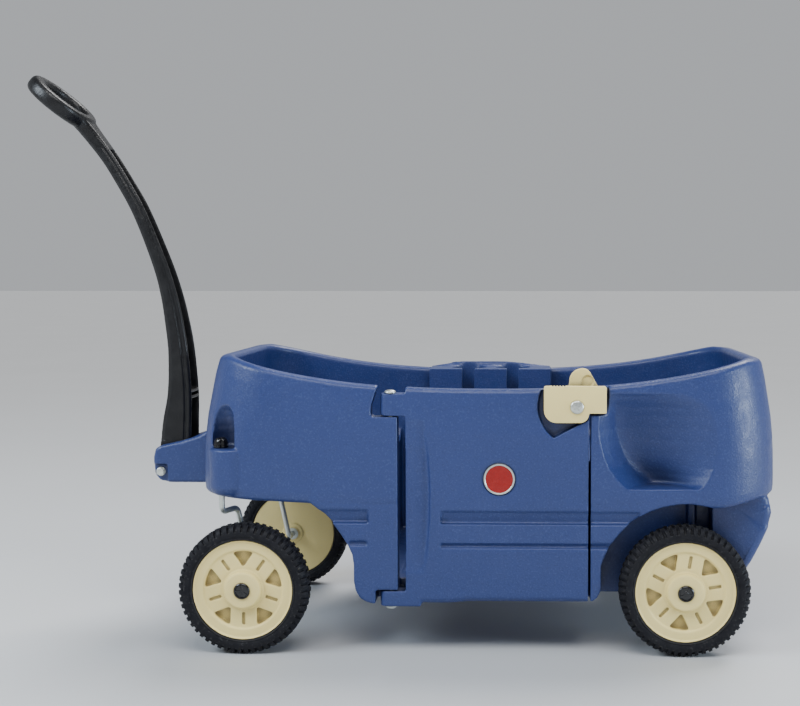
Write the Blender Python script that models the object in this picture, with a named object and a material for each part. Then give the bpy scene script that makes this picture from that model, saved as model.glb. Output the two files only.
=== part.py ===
"""Kids' pull wagon: a moulded two-seat tub with a hinged side door and its turn latch, a pull handle
pivoted in a front tongue, two swivelling front wheels on bent steel rods and two fixed rear wheels.

Blender 4.5, metres, +Z up. The handle is at -X, the tail at +X, and the door is on the -Y side.
The origin is on the ground, in the middle of the overall length and width.
"""

import math

import bmesh
import bpy
from mathutils import Vector

# ---------------------------------------------------------------- driving dimensions, metres
GAP = 0.0003            # between pieces that touch

# tub shell
FRONT_X = -0.308        # outermost point of the front wall
REAR_X = 0.636          # outermost point of the rear wall
HALF_WIDTH = 0.235      # widest half width of the tub
BULGE_Z = 0.285         # height at which the tub is longest and widest
LEAN_SPAN = 0.19        # height over which the walls lean in
FRONT_LEAN = 0.028      # how far the front wall leans in over that height
REAR_LEAN = 0.022
SIDE_LEAN = 0.010
SIDE_BOW = 0.012        # the side walls come in by this much at the ends
CORNER_R = 0.105        # corners in plan
WALL = 0.027
DECK_Z = 0.239          # underside of the shell at its middle
FRONT_RISE = 0.0125     # of the underside, to the front end
REAR_RISE = 0.012
SEAT_Z = 0.290
RIM_LOW_Z = 0.4245      # the rim sags to this height beside the door
RIM_LOW_X = 0.170
RIM_RISE = 0.425        # the rim rises as this times distance to the power RIM_POWER
RIM_POWER = 2.5
RIM_FRONT_X = -0.255    # beyond these the rim runs level
RIM_REAR_X = 0.580

# belly between the axles, footwell in it
BELLY_HALF = 0.2335
BELLY_Z = 0.085
BELLY_FRONT_X = -0.045
BELLY_REAR_X = 0.455
FOOTWELL = (-0.012, 0.318)
FOOTWELL_HALF = 0.2005
FLOOR_Z = 0.115

# wheels
WHEEL_R = 0.104
RIM_R = 0.080
WHEEL_Y = 0.2205        # middle plane of each wheel
REAR_AXLE_X = 0.480
FRONT_HUB_X = -0.224
ROD_R = 0.0048          # axle and spindle steel
BORE_R = 0.0056
WHEEL_SEGMENTS = 32
REAR_POCKET_DEG = 45
FRONT_POCKET_DEG = 18

# rear wheel wells and tail
ARCH_R = 0.139
WELL_FRONT_X = 0.3465
WELL_REAR_X = 0.529
WELL_HALF = 0.150       # the body is this narrow inside the wells
TAIL_HALF = 0.180
TAIL_Z = 0.082          # underside of the tail, between the rear wheels
BOSS_R = 0.022
BOSS_HALF = 0.190

# front swivels
KINGPIN = Vector((-0.265, 0.200, 0.0))
KINGPIN_LEDGE_Z = 0.327
SPINDLE_INNER_Y = 0.160
SPINDLE_BEND_Z = 0.222
KINGPIN_BOSS_R = 0.034
KINGPIN_BOSS_SHIFT = 0.015
NICHE_SHIFT = 0.005
NICHE_REACH = 0.060     # how far the niche's cut runs out past the wall
NICHE_WALL = 0.009      # wall left behind the niche

# tongue and handle
PIVOT = Vector((-0.407, 0.0, 0.264))
TONGUE_HALF = 0.056
TONGUE_SLOT_HALF = 0.034
TONGUE_SLOT_X = -0.3565
EAR_Y = 0.0520          # bottom of the recesses for the bolt's head and nut
HANDLE_BASE_HALF = 0.0325
HANDLE_TOP_HALF = 0.0200
HANDLE_BOSS_R = 0.0165
LOOP_CENTRE = Vector((-0.5852, 0.0, 0.9045))
LOOP_TILT_DEG = 139.4   # direction of the loop's long axis, from +X
LOOP_LENGTH = 0.127
LOOP_WIDTH = 0.150
LOOP_BAR = 0.025

# door
DOOR_X = (0.036, 0.3265)
DOOR_OPENING_X = (0.0235, 0.330)
DOOR_INNER_Y = -0.2005
DOOR_ROUND = 0.006      # rounding of its long edges
DOOR_FOOT_DROP = 0.003  # its bottom edge sags by this ahead of DOOR_FOOT_X
DOOR_FOOT_X = 0.12
HINGE = Vector((0.0116, -0.222, 0.0))
HINGE_PIN_R = 0.0038
HINGE_HEAD_R = 0.0092
HINGE_HEAD_RISE = 0.0052
TOP_KNUCKLE_Z = (0.3822, 0.418)
LOW_KNUCKLE_Z = (0.077, 0.1015)

# cup wells in the far wall's console
CUP_X = (0.120, 0.203)
CUP_Y = 0.180
CUP_R = 0.0325
CUP_FLOOR_Z = 0.358

# latch
LATCH = Vector((0.3075, 0.0, 0.3977))
LATCH_Y = (-0.2365, -0.2225)
LATCH_POCKET_R = 0.0615   # round the bolt, for the corner of the plate as it turns
LATCH_POCKET_Y = -0.2205
LATCH_NOTCH_Y = -0.2195
LATCH_TAB_Y = (-0.1995, -0.1885)

# reflector on the door
REFLECTOR = Vector((0.185, 0.0, 0.2825))
REFLECTOR_R = 0.025
REFLECTOR_SEAT_Y = -0.2305

STEEL = ((0.62, 0.63, 0.64), 0.35, 1.0)
BLUE = ((0.10, 0.17, 0.42), 0.45, 0.0)
CREAM = ((0.80, 0.73, 0.52), 0.50, 0.0)
BLACK = ((0.02, 0.02, 0.02), 0.35, 0.0)
RUBBER = ((0.025, 0.025, 0.028), 0.85, 0.0)
RED = ((0.60, 0.05, 0.03), 0.20, 0.0)


# ---------------------------------------------------------------- helpers
def clear_scene():
    for obj in list(bpy.data.objects):
        bpy.data.objects.remove(obj)


def material(name, finish):
    colour, roughness, metallic = finish
    found = bpy.data.materials.get(name)
    if found:
        return found
    made = bpy.data.materials.new(name)
    made.use_nodes = True
    shader = made.node_tree.nodes["Principled BSDF"]
    shader.inputs["Base Color"].default_value = (*colour, 1.0)
    shader.inputs["Roughness"].default_value = roughness
    shader.inputs["Metallic"].default_value = metallic
    return made


def from_bmesh(name, bm):
    bmesh.ops.recalc_face_normals(bm, faces=bm.faces)
    mesh = bpy.data.meshes.new(name)
    bm.to_mesh(mesh)
    bm.free()
    obj = bpy.data.objects.new(name, mesh)
    bpy.context.scene.collection.objects.link(obj)
    return obj


def loft(name, rings):
    """A closed solid through rings of equally many points, with its two ends filled."""
    bm = bmesh.new()
    rows = [[bm.verts.new(p) for p in ring] for ring in rings]
    count = len(rows[0])
    for low, high in zip(rows, rows[1:]):
        for i in range(count):
            j = (i + 1) % count
            bm.faces.new((low[i], low[j], high[j], high[i]))
    bm.faces.new(list(reversed(rows[0])))
    bm.faces.new(rows[-1])
    return from_bmesh(name, bm)


def flat_faced(obj):
    """Its many-sided faces cut into triangles, which can't be bent."""
    bm = bmesh.new()
    bm.from_mesh(obj.data)
    bmesh.ops.triangulate(bm, faces=[face for face in bm.faces if len(face.verts) > 4])
    bm.to_mesh(obj.data)
    bm.free()
    return obj


def prism(name, outline, axis, low, high):
    """A flat outline pushed along an axis: (y, z) points along X, (x, z) along Y, (x, y) along Z."""
    def place(a, b, along):
        return {"X": (along, a, b), "Y": (a, along, b), "Z": (a, b, along)}[axis]

    return loft(name, [[place(a, b, along) for a, b in outline] for along in (low, high)])


def box(name, x, y, z):
    return prism(name, [(x[0], y[0]), (x[1], y[0]), (x[1], y[1]), (x[0], y[1])], "Z", *z)


def arc(centre, radius, start, end, steps):
    """Points on a circle in the outline's plane, both ends included, angles in degrees."""
    turns = [math.radians(start + (end - start) * i / steps) for i in range(steps + 1)]
    return [(centre[0] + radius * math.cos(t), centre[1] + radius * math.sin(t)) for t in turns]


def circle(centre, radius, segments, turn=0.0):
    return arc(centre, radius, turn, turn + 360 * (segments - 1) / segments, segments - 1)


def cylinder(name, centre, radius, axis, low, high, segments=16, turn=0.0):
    return prism(name, circle(centre, radius, segments, turn), axis, low, high)


def turned(name, profile, x, y, z, side, segments):
    """A closed (radius, outward) profile turned about the Y line through x, z. side is +1 left, -1 right."""
    bm = bmesh.new()
    rows = []
    for i in range(segments):
        t = math.radians(360 * i / segments - 90)
        rows.append([
            bm.verts.new((x + r * math.cos(t), y + side * out, z + r * math.sin(t)))
            for r, out in profile
        ])
    count = len(profile)
    for i in range(segments):
        a, b = rows[i], rows[(i + 1) % segments]
        for k in range(count):
            m = (k + 1) % count
            bm.faces.new((a[k], a[m], b[m], b[k]))
    return from_bmesh(name, bm)


def tube(name, points, radius, segments=12):
    """A round rod through a list of points, mitred at each."""
    points = [Vector(p) for p in points]
    rings = []
    side = Vector((0.3, 1.0, 0.2))
    for i, p in enumerate(points):
        before = (p - points[i - 1]).normalized() if i else (points[1] - p).normalized()
        after = (points[i + 1] - p).normalized() if i + 1 < len(points) else before
        along = (before + after).normalized()
        across = (side - along * side.dot(along)).normalized()
        third = along.cross(across)
        side = across
        rings.append([
            p + radius * (math.cos(t) * across + math.sin(t) * third)
            for t in (2 * math.pi * k / segments for k in range(segments))
        ])
    return loft(name, rings)


def bevelled(obj, width, segments=2, angle=35):
    bevel = obj.modifiers.new("rounding", "BEVEL")
    bevel.width = width
    bevel.segments = segments
    bevel.limit_method = "ANGLE"
    bevel.angle_limit = math.radians(angle)
    return settled(obj)


def settled(obj):
    """Turns the object's modifiers into its mesh."""
    shape = obj.evaluated_get(bpy.context.evaluated_depsgraph_get())
    mesh = bpy.data.meshes.new_from_object(shape)
    obj.modifiers.clear()
    obj.data = mesh
    return obj


def combine(target, operation, *tools):
    """Unions or cuts the tools in turn, and removes them."""
    for tool in tools:
        boolean = target.modifiers.new(operation, "BOOLEAN")
        boolean.operation = operation
        boolean.solver = "EXACT"
        boolean.object = tool
        settled(target)
        bpy.data.objects.remove(tool)
    return target


def finished(obj, finish_name, finish):
    obj.data.materials.clear()
    obj.data.materials.append(material(finish_name, finish))
    obj.data.shade_smooth()
    obj.data.set_sharp_from_angle(angle=math.radians(30))
    return obj


# ---------------------------------------------------------------- tub
def rim_z(x):
    """Height of the rim over the ground at this x."""
    x = min(max(x, RIM_FRONT_X), RIM_REAR_X)
    return RIM_LOW_Z + RIM_RISE * abs(x - RIM_LOW_X) ** RIM_POWER


def lean(z):
    """Share of a wall's lean reached at this height, squared so that the walls curve in."""
    return (max(z - BULGE_Z, 0.0) / LEAN_SPAN) ** 2


def side_y(x, z):
    """Half width of the tub's outer side at this place."""
    middle = (FRONT_X + REAR_X) / 2
    reach = (REAR_X - FRONT_X) / 2
    return HALF_WIDTH - SIDE_LEAN * lean(z) - SIDE_BOW * abs((x - middle) / reach) ** 4


def plan_ring(inset, height, side_steps=14, end_steps=4, corner_steps=6):
    """One level of the shell: a rounded rectangle that is inset and follows the lean of the walls."""
    end_z = height(FRONT_X)
    front = FRONT_X + FRONT_LEAN * lean(end_z) + inset
    rear = REAR_X - REAR_LEAN * lean(end_z) - inset
    half = HALF_WIDTH - inset
    radius = max(CORNER_R - inset, 0.03)
    flat = []
    for (cx, cy, start), steps, end in (
        ((rear - radius, half - radius, 0), side_steps, (front + radius, half)),
        ((front + radius, half - radius, 90), end_steps, (front, radius - half)),
        ((front + radius, radius - half, 180), side_steps, (rear - radius, -half)),
        ((rear - radius, radius - half, 270), end_steps, (rear, half - radius)),
    ):
        corner = arc((cx, cy), radius, start, start + 90, corner_steps)
        x, y = corner[-1]
        run = [(x + (end[0] - x) * i / steps, y + (end[1] - y) * i / steps) for i in range(1, steps)]
        flat += corner + run
    ring = []
    for x, y in flat:
        z = height(x)
        squeeze = side_y(x, z) / HALF_WIDTH
        ring.append((x, y * squeeze, z))
    return ring


def deck_z(x):
    """The shell's underside, which rises towards both ends."""
    front = min(max((0.02 - x) / 0.29, 0.0), 1.0)
    rear = min(max((x - 0.535) / 0.075, 0.0), 1.0)
    return DECK_Z + FRONT_RISE * front + REAR_RISE * rear


def shell():
    """The bowl: up the outer wall, over the rounded rim, down to the seat level."""
    levels = [
        (0.016, deck_z),
        (0.006, lambda x: deck_z(x) + 0.003),
        (0.001, lambda x: deck_z(x) + 0.010),
        (0.000, lambda x: deck_z(x) + 0.020),
        (0.000, lambda x: BULGE_Z),
        (0.000, lambda x: 0.345),
        (0.000, lambda x: rim_z(x) - 0.030),
        (0.0015, lambda x: rim_z(x) - 0.010),
        (0.006, lambda x: rim_z(x) - 0.002),
        (0.0135, rim_z),
        (0.021, lambda x: rim_z(x) - 0.002),
        (0.0255, lambda x: rim_z(x) - 0.010),
        (WALL, lambda x: rim_z(x) - 0.030),
        (WALL + 0.003, lambda x: 0.345),
        (WALL + 0.008, lambda x: SEAT_Z + 0.020),
        (WALL + 0.016, lambda x: SEAT_Z + 0.006),
        (WALL + 0.030, lambda x: SEAT_Z),
    ]
    return flat_faced(loft("tub", [plan_ring(inset, height) for inset, height in levels]))


def belly():
    outline = [
        (-0.100, SEAT_Z - 0.010), (-0.120, DECK_Z + 0.007), (-0.092, 0.224), (-0.0655, 0.190),
        (-0.0495, 0.160), (BELLY_FRONT_X, 0.142), (-0.0465, 0.112), (-0.0385, 0.092),
        (-0.028, 0.0845), (-0.014, 0.081), (0.060, 0.080),
        (0.140, BELLY_Z), (0.330, BELLY_Z), (0.3425, 0.091), (WELL_FRONT_X + 0.001, 0.104),
        (BELLY_REAR_X, 0.160), (BELLY_REAR_X, SEAT_Z - 0.010),
    ]
    return bevelled(prism("belly", outline, "Y", -BELLY_HALF, BELLY_HALF), 0.007, 1, 50)


def tail():
    outline = [
        (0.300, 0.270), (0.300, TAIL_Z), (0.545, TAIL_Z), (0.573, 0.106), (0.593, 0.138),
        (0.608, 0.167), (0.6205, 0.195), (0.6265, 0.220), (0.6225, 0.2430), (0.600, 0.270),
    ]
    return bevelled(prism("tail", outline, "Y", -TAIL_HALF, TAIL_HALF), 0.010, 2, 50)


def wheel_well(side):
    """Space round a rear wheel: the arch, straight at its front and rear edges."""
    rear_angle = math.degrees(math.acos((WELL_REAR_X - REAR_AXLE_X) / ARCH_R))
    front_angle = math.degrees(math.acos((WELL_FRONT_X - REAR_AXLE_X) / ARCH_R))
    outline = arc((REAR_AXLE_X, WHEEL_R), ARCH_R, rear_angle, front_angle, 14)
    outline += [(WELL_FRONT_X, 0.0), (WELL_REAR_X, 0.0)]
    low, high = sorted((side * WELL_HALF, side * 0.30))
    return prism("well", outline, "Y", low, high)


def axle_boss(side):
    low, high = sorted((side * (WELL_HALF - 0.010), side * BOSS_HALF))
    return cylinder("boss", (REAR_AXLE_X, WHEEL_R), BOSS_R, "Y", low, high, 20)


def tongue():
    outline = [
        (-0.290, 0.245), (-0.392, 0.245), (-0.409, 0.2485), (-0.4165, 0.2570), (-0.419, 0.2700),
        (-0.419, 0.2900), (-0.4155, 0.3040), (-0.407, 0.3090), (-0.3705, 0.3170), (-0.341, 0.3260),
        (-0.320, 0.3380), (-0.290, 0.3500),
    ]
    return bevelled(prism("tongue", outline, "Y", -TONGUE_HALF, TONGUE_HALF), 0.006, 2, 50)


def within_wall():
    """The space inside the wall's outer face, which keeps a bulge from showing on the outside."""
    heights = (lambda x: deck_z(x) + 0.010, lambda x: BULGE_Z, lambda x: 0.345, lambda x: rim_z(x) - 0.012)
    return flat_faced(loft("within_wall", [plan_ring(0.006, height) for height in heights]))


def niche(side, margin=0.0):
    """Recess at each front corner that bares the ledge where the swivel's cap sits. A margin makes the
    bulge behind it."""
    outward = Vector((-0.40, side * 0.9165))
    across = math.degrees(math.atan2(outward.y, outward.x))
    levels = (
        (KINGPIN_LEDGE_Z, 0.0260, 0.000), (0.345, 0.0260, 0.000), (0.375, 0.0245, 0.008),
        (0.395, 0.0200, 0.018), (0.407, 0.0120, 0.028),
    )
    rings = []
    for i, (z, radius, shift) in enumerate(levels):
        z += {0: -margin, len(levels) - 1: margin}.get(i, 0.0)
        radius += margin
        near = Vector((KINGPIN.x + NICHE_SHIFT, side * KINGPIN.y)) + outward * shift
        far = near + outward * NICHE_REACH
        ring = arc(near, radius, across + 90, across + 270, 8)
        ring += arc(far, radius * 1.2, across - 90, across + 90, 8)
        rings.append([(x, y, z) for x, y in ring])
    return loft("niche", rings)


def kingpin_boss(side):
    """Post moulded into the front corner round the kingpin, its top is the ledge."""
    centre = (KINGPIN.x + KINGPIN_BOSS_SHIFT, side * (KINGPIN.y - 0.0035))
    foot = deck_z(KINGPIN.x)
    levels = (
        (foot, KINGPIN_BOSS_R - 0.010), (foot + 0.004, KINGPIN_BOSS_R - 0.004),
        (foot + 0.016, KINGPIN_BOSS_R), (KINGPIN_LEDGE_Z - 0.004, KINGPIN_BOSS_R),
        (KINGPIN_LEDGE_Z, KINGPIN_BOSS_R - 0.003),
    )
    rings = [[(x, y, z) for x, y in circle(centre, radius, 24)] for z, radius in levels]
    return loft("kingpin_boss", rings)


def scoop(margin):
    """The open side pocket, or with a margin the bulge behind it."""
    levels = (
        (0.2675, 0.388, 0.498, 0.062), (0.278, 0.374, 0.512, 0.064), (0.300, 0.358, 0.523, 0.060),
        (0.335, 0.346, 0.529, 0.050), (0.370, 0.342, 0.530, 0.036), (0.400, 0.346, 0.524, 0.019),
        (0.418, 0.356, 0.510, 0.006),
    )
    steps = 12
    outside = -0.270
    rings = []
    for i, (z, left, right, depth) in enumerate(levels):
        z -= margin if i == 0 else 0.0
        left, right, depth = left - margin, right + margin, depth + margin
        face = -side_y((left + right) / 2, z)
        middle, half = (left + right) / 2, (right - left) / 2
        curve = [
            (middle + half * math.cos(t), face + depth * math.sin(t))
            for t in (math.pi * k / steps for k in range(steps + 1))
        ]
        ring = [(x, max(y, outside)) for x, y in curve]
        ring += [(left, outside - 0.005), (right, outside - 0.005)]
        rings.append([(x, y, z) for x, y in ring])
    return loft("scoop", rings)


def console():
    """Shelf on the far wall, between the seats, that holds two cups."""
    outline = [(0.215, 0.430), (0.130, 0.430), (0.130, 0.375), (0.160, 0.335), (0.215, 0.305)]
    return bevelled(prism("console", outline, "X", 0.0476, 0.2745), 0.005, 1, 50)


def cup_cuts():
    """Two round wells with a slot in front of each, for a cup's grip."""
    cuts = []
    for x in CUP_X:
        cuts.append(cylinder("cup", (x, CUP_Y), CUP_R, "Z", CUP_FLOOR_Z, 0.50, 20))
        cuts.append(box("slot", (x - 0.011, x + 0.011), (0.110, CUP_Y), (CUP_FLOOR_Z + 0.014, 0.50)))
    return cuts


def groove_cuts(side):
    """Two moulded lines along the belly, and two short ones ahead of the door."""
    def strip(x, z_low, z_high, depth):
        outer, inner = BELLY_HALF + 0.010, BELLY_HALF - depth
        shape = [
            (outer, z_high + 0.004), (inner, z_high - 0.006), (inner, z_low + 0.002), (outer, z_low - 0.004),
        ]
        return prism("groove", [(side * y, z) for y, z in shape], "X", *x)

    long_start = DOOR_X[0] + 0.0556
    return [
        strip((long_start, 0.408), 0.209, 0.231, 0.007),
        strip((long_start, 0.372), 0.171, 0.180, 0.005),
        strip((-0.106, -0.0235), 0.2115, 0.2335, 0.006),
        strip((-0.0548, -0.0254), 0.1745, 0.1835, 0.005),
    ]


def door_opening_cuts():
    top = [(0.0145, 0.50), (-0.0187, 0.387), (-0.0187, TOP_KNUCKLE_Z[0] - 0.0012),
           (0.030, TOP_KNUCKLE_Z[0] - 0.0012), (0.030, 0.50)]
    low_z = LOW_KNUCKLE_Z[1] + 0.0015
    return [
        box("opening", DOOR_OPENING_X, (-0.30, DOOR_INNER_Y + 0.0015), (0.0, 0.60)),
        prism("notch", top, "Y", -0.30, -0.190),
        box("notch", (-0.0125, 0.030), (-0.30, -0.190), (0.0, low_z)),
        box("latch_notch", (DOOR_OPENING_X[1] - 0.001, 0.3578), (-0.30, LATCH_NOTCH_Y), (0.3845, 0.50)),
        cylinder("pin_hole", HINGE.xy, HINGE_PIN_R + 0.0004, "Z", 0.346, 0.45, 12),
        cylinder("pin_hole", HINGE.xy, HINGE_PIN_R + 0.0004, "Z", 0.05, 0.136, 12),
    ]


def make_tub():
    tub = shell()
    combine(tub, "UNION", belly(), tail(), tongue())
    combine(tub, "DIFFERENCE", box("footwell", FOOTWELL, (-FOOTWELL_HALF, FOOTWELL_HALF), (FLOOR_Z, 0.335)))
    bulges = [scoop(0.018), niche(1, NICHE_WALL), niche(-1, NICHE_WALL)]
    for bulge in bulges:
        combine(bulge, "INTERSECT", within_wall())
    combine(tub, "UNION", console(), *bulges)
    for side in (-1, 1):
        combine(tub, "DIFFERENCE", wheel_well(side))
        combine(tub, "UNION", axle_boss(side), kingpin_boss(side))
        combine(tub, "DIFFERENCE", niche(side), *groove_cuts(side))
        king = (KINGPIN.x, side * KINGPIN.y)
        combine(tub, "DIFFERENCE", cylinder("king_hole", king, ROD_R + 0.0006, "Z", 0.20, 0.35, 12))
    combine(tub, "DIFFERENCE", scoop(0.0), *cup_cuts(), *door_opening_cuts())
    combine(
        tub, "DIFFERENCE",
        box("tongue_slot", (-0.46, TONGUE_SLOT_X), (-TONGUE_SLOT_HALF, TONGUE_SLOT_HALF), (0.20, 0.40)),
        cylinder("bolt_hole", (PIVOT.x, PIVOT.z), 0.0043, "Y", -0.08, 0.08, 12),
        *[
            box("bolt_recess", (-0.418, -0.394), sorted((s * EAR_Y, s * 0.08)), (0.2515, 0.2765))
            for s in (-1, 1)
        ],
        cylinder("axle_hole", (REAR_AXLE_X, WHEEL_R), ROD_R + 0.0004, "Y", -0.30, 0.30, 12),
    )
    return finished(tub, "blue_plastic", BLUE)


# ---------------------------------------------------------------- door
def door_slab():
    """The door's outer face follows the tub's side, its inner face is flat."""
    heights = (0.100, 0.220, 0.300, 0.355, 0.395)
    rings = []
    for i in range(9):
        x = DOOR_X[0] + (DOOR_X[1] - DOOR_X[0]) * i / 8
        top = rim_z(x)
        bottom = BELLY_Z - DOOR_FOOT_DROP * (x < DOOR_FOOT_X)
        levels = [*heights, top - DOOR_ROUND]
        ring = [
            (DOOR_INNER_Y, bottom), (-BELLY_HALF + DOOR_ROUND, bottom),
            (-BELLY_HALF, bottom + DOOR_ROUND),
        ]
        ring += [(-min(side_y(x, z), BELLY_HALF), z) for z in levels]
        ring += [
            (-side_y(x, top) + DOOR_ROUND, top), (DOOR_INNER_Y - DOOR_ROUND, top),
            (DOOR_INNER_Y, top - DOOR_ROUND),
        ]
        rings.append([(x, y, z) for y, z in ring])
    return loft("door", rings)


def knuckle(z, x_end):
    """Arm that reaches round the hinge pin from the door's edge."""
    y = (-BELLY_HALF, -0.2060)
    middle, radius = sum(y) / 2, (y[1] - y[0]) / 2
    outline = arc((HINGE.x - 0.0036, middle), radius, 270, 90, 8) + [(x_end, y[1]), (x_end, y[0])]
    return prism("knuckle", outline, "Z", *z)


def make_door():
    door = door_slab()
    hollow_edge = [(0.074, -0.240), (0.030, -0.240), (0.030, -0.2275)]
    pocket = arc((0, 0), LATCH_POCKET_R, 150, 233.5, 8) + [(0.030, -0.0136), (0.030, 0.060), (-0.0533, 0.060)]
    pocket = [(LATCH.x + x, LATCH.z + z) for x, z in pocket]
    combine(door, "DIFFERENCE", prism("edge", hollow_edge, "Z", 0.135, 0.372), *groove_cuts(-1))
    combine(door, "UNION", knuckle(TOP_KNUCKLE_Z, 0.044), knuckle(LOW_KNUCKLE_Z, 0.060))
    combine(
        door, "DIFFERENCE",
        prism("pocket", pocket, "Y", -0.26, LATCH_POCKET_Y),
        cylinder("bolt_hole", (LATCH.x, LATCH.z), 0.0044, "Y", -0.26, -0.15, 12),
        cylinder("pin_hole", HINGE.xy, HINGE_PIN_R + 0.0004, "Z", 0.36, 0.45, 12),
        cylinder("pin_hole", HINGE.xy, HINGE_PIN_R + 0.0004, "Z", 0.05, 0.12, 12),
        cylinder("seat", (REFLECTOR.x, REFLECTOR.z), REFLECTOR_R + 0.001, "Y", -0.26, REFLECTOR_SEAT_Y, 24),
    )
    return finished(door, "blue_plastic", BLUE)


def make_hinge_pins():
    """Headed pins, one let down through the upper knuckle and one pushed up through the lower."""
    top, low = TOP_KNUCKLE_Z[1] + GAP, LOW_KNUCKLE_Z[0] - GAP
    upper = cylinder("hinge_pin_top", HINGE.xy, HINGE_PIN_R, "Z", 0.348, top + 0.002, 12)
    combine(upper, "UNION", cylinder("head", HINGE.xy, HINGE_HEAD_R, "Z", top, top + HINGE_HEAD_RISE, 16))
    lower = cylinder("hinge_pin_bottom", HINGE.xy, HINGE_PIN_R, "Z", low - 0.002, 0.134, 12)
    combine(lower, "UNION", cylinder("head", HINGE.xy, HINGE_HEAD_R, "Z", low - HINGE_HEAD_RISE, low, 16))
    for pin in (upper, lower):
        finished(pin, "steel", STEEL)


def make_reflector():
    disc = cylinder(
        "door_reflector", (REFLECTOR.x, REFLECTOR.z), REFLECTOR_R, "Y",
        -HALF_WIDTH + GAP, REFLECTOR_SEAT_Y - GAP, 24,
    )
    finished(bevelled(disc, 0.0015, 1, 50), "red_plastic", RED)


# ---------------------------------------------------------------- latch
def make_latch():
    def at(points):
        return [(LATCH.x + x, LATCH.z + z) for x, z in points]

    plate = at(
        arc((-0.046, 0.0265), 0.006, 180, 90, 2) + [(0.0465, 0.0325), (0.0465, -0.010), (0.0185, -0.010)]
        + arc((0.0045, -0.0105), 0.0145, 0, -90, 4) + arc((-0.034, -0.0080), 0.0170, -90, -180, 4)
    )
    plate = bevelled(prism("latch_plate", plate, "Y", *LATCH_Y), 0.0015, 1, 50)
    combine(plate, "DIFFERENCE", cylinder("hole", (LATCH.x, LATCH.z), 0.0043, "Y", -0.26, -0.20, 12))
    tab = at(
        arc((0, 0), 0.017, 200, 340, 6) + [(0.0365, 0.0270)] + arc((0.0105, 0.0440), 0.0145, 35, 95, 4)
        + arc((0.0095, 0.0375), 0.0205, 110, 180, 4)
    )
    tab = bevelled(prism("latch_tab", tab, "Y", *LATCH_TAB_Y), 0.0020, 1, 50)
    combine(tab, "DIFFERENCE", cylinder("hole", (LATCH.x, LATCH.z), 0.0043, "Y", -0.26, -0.15, 12))
    bolt = cylinder("latch_bolt", (LATCH.x, LATCH.z), 0.0040, "Y", LATCH_Y[0] - 0.002, -0.1835, 12)
    dome = [(0.0002, 0.0), (0.0107, 0.0), (0.0100, 0.0022), (0.0060, 0.0038), (0.0002, 0.0042)]
    head = turned("head", dome, LATCH.x, LATCH_Y[0] - GAP, LATCH.z, -1, 16)
    fill = cylinder("fill", (LATCH.x, LATCH.z), 0.0020, "Y", LATCH_Y[0] - GAP - 0.0040, LATCH_Y[0], 12)
    combine(bolt, "UNION", fill, head)
    nut = cylinder("latch_nut", (LATCH.x, LATCH.z), 0.0078, "Y", LATCH_TAB_Y[1] + GAP, -0.1835, 6)
    combine(nut, "DIFFERENCE", cylinder("hole", (LATCH.x, LATCH.z), 0.0043, "Y", -0.26, -0.15, 12))
    for piece in (plate, tab):
        finished(piece, "cream_plastic", CREAM)
    for piece in (bolt, nut):
        finished(piece, "steel", STEEL)


# ---------------------------------------------------------------- handle
def stem_line(share):
    """Middle of the handle's stem, its depth fore and aft, and its half width, from base (0) to loop (1)."""
    stations = (
        (0.300, -0.3880, 0.0540), (0.345, -0.3848, 0.0510), (0.396, -0.3800, 0.0430),
        (0.449, -0.3807, 0.0375), (0.486, -0.3833, 0.0350), (0.523, -0.3887, 0.0330),
        (0.560, -0.3952, 0.0300), (0.607, -0.4072, 0.0265), (0.664, -0.4275, 0.0240),
        (0.723, -0.4522, 0.0230), (0.770, -0.4783, 0.0225), (0.805, -0.4995, 0.0225),
        (0.835, -0.5210, 0.0235), (0.872, -0.5490, 0.0240),
    )
    place = share * (len(stations) - 1)
    i = min(int(place), len(stations) - 2)
    f = place - i
    z, x, depth = (a + (b - a) * f for a, b in zip(stations[i], stations[i + 1]))
    half = HANDLE_BASE_HALF + (HANDLE_TOP_HALF - HANDLE_BASE_HALF) * min(share * 1.25, 1.0)
    return Vector((x, 0.0, z)), depth, half


def stem_sections(count, start, end, outline):
    """Rings across the stem. outline(depth, half) gives (fore-aft, sideways) points."""
    rings = []
    for i in range(count):
        share = start + (end - start) * i / (count - 1)
        middle, depth, half = stem_line(share)
        ahead = stem_line(min(share + 0.02, 1.0))[0] - stem_line(max(share - 0.02, 0.0))[0]
        ahead.normalize()
        rearward = Vector((ahead.z, 0.0, -ahead.x))
        rings.append([middle + rearward * a + Vector((0, b, 0)) for a, b in outline(depth, half)])
    return rings


def stem_outline(depth, half):
    cut = min(0.006, depth * 0.25)
    d = depth / 2
    return [(d, -half), (d, half), (-d + cut, half), (-d, half - cut), (-d, cut - half), (cut - d, -half)]


def channel_outline(depth, half):
    d, wall = depth / 2, 0.0065
    return [(d + 0.01, wall - half), (d + 0.01, half - wall), (-d + 2 * wall, half - 1.4 * wall),
            (-d + 2 * wall, 1.4 * wall - half)]


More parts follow.
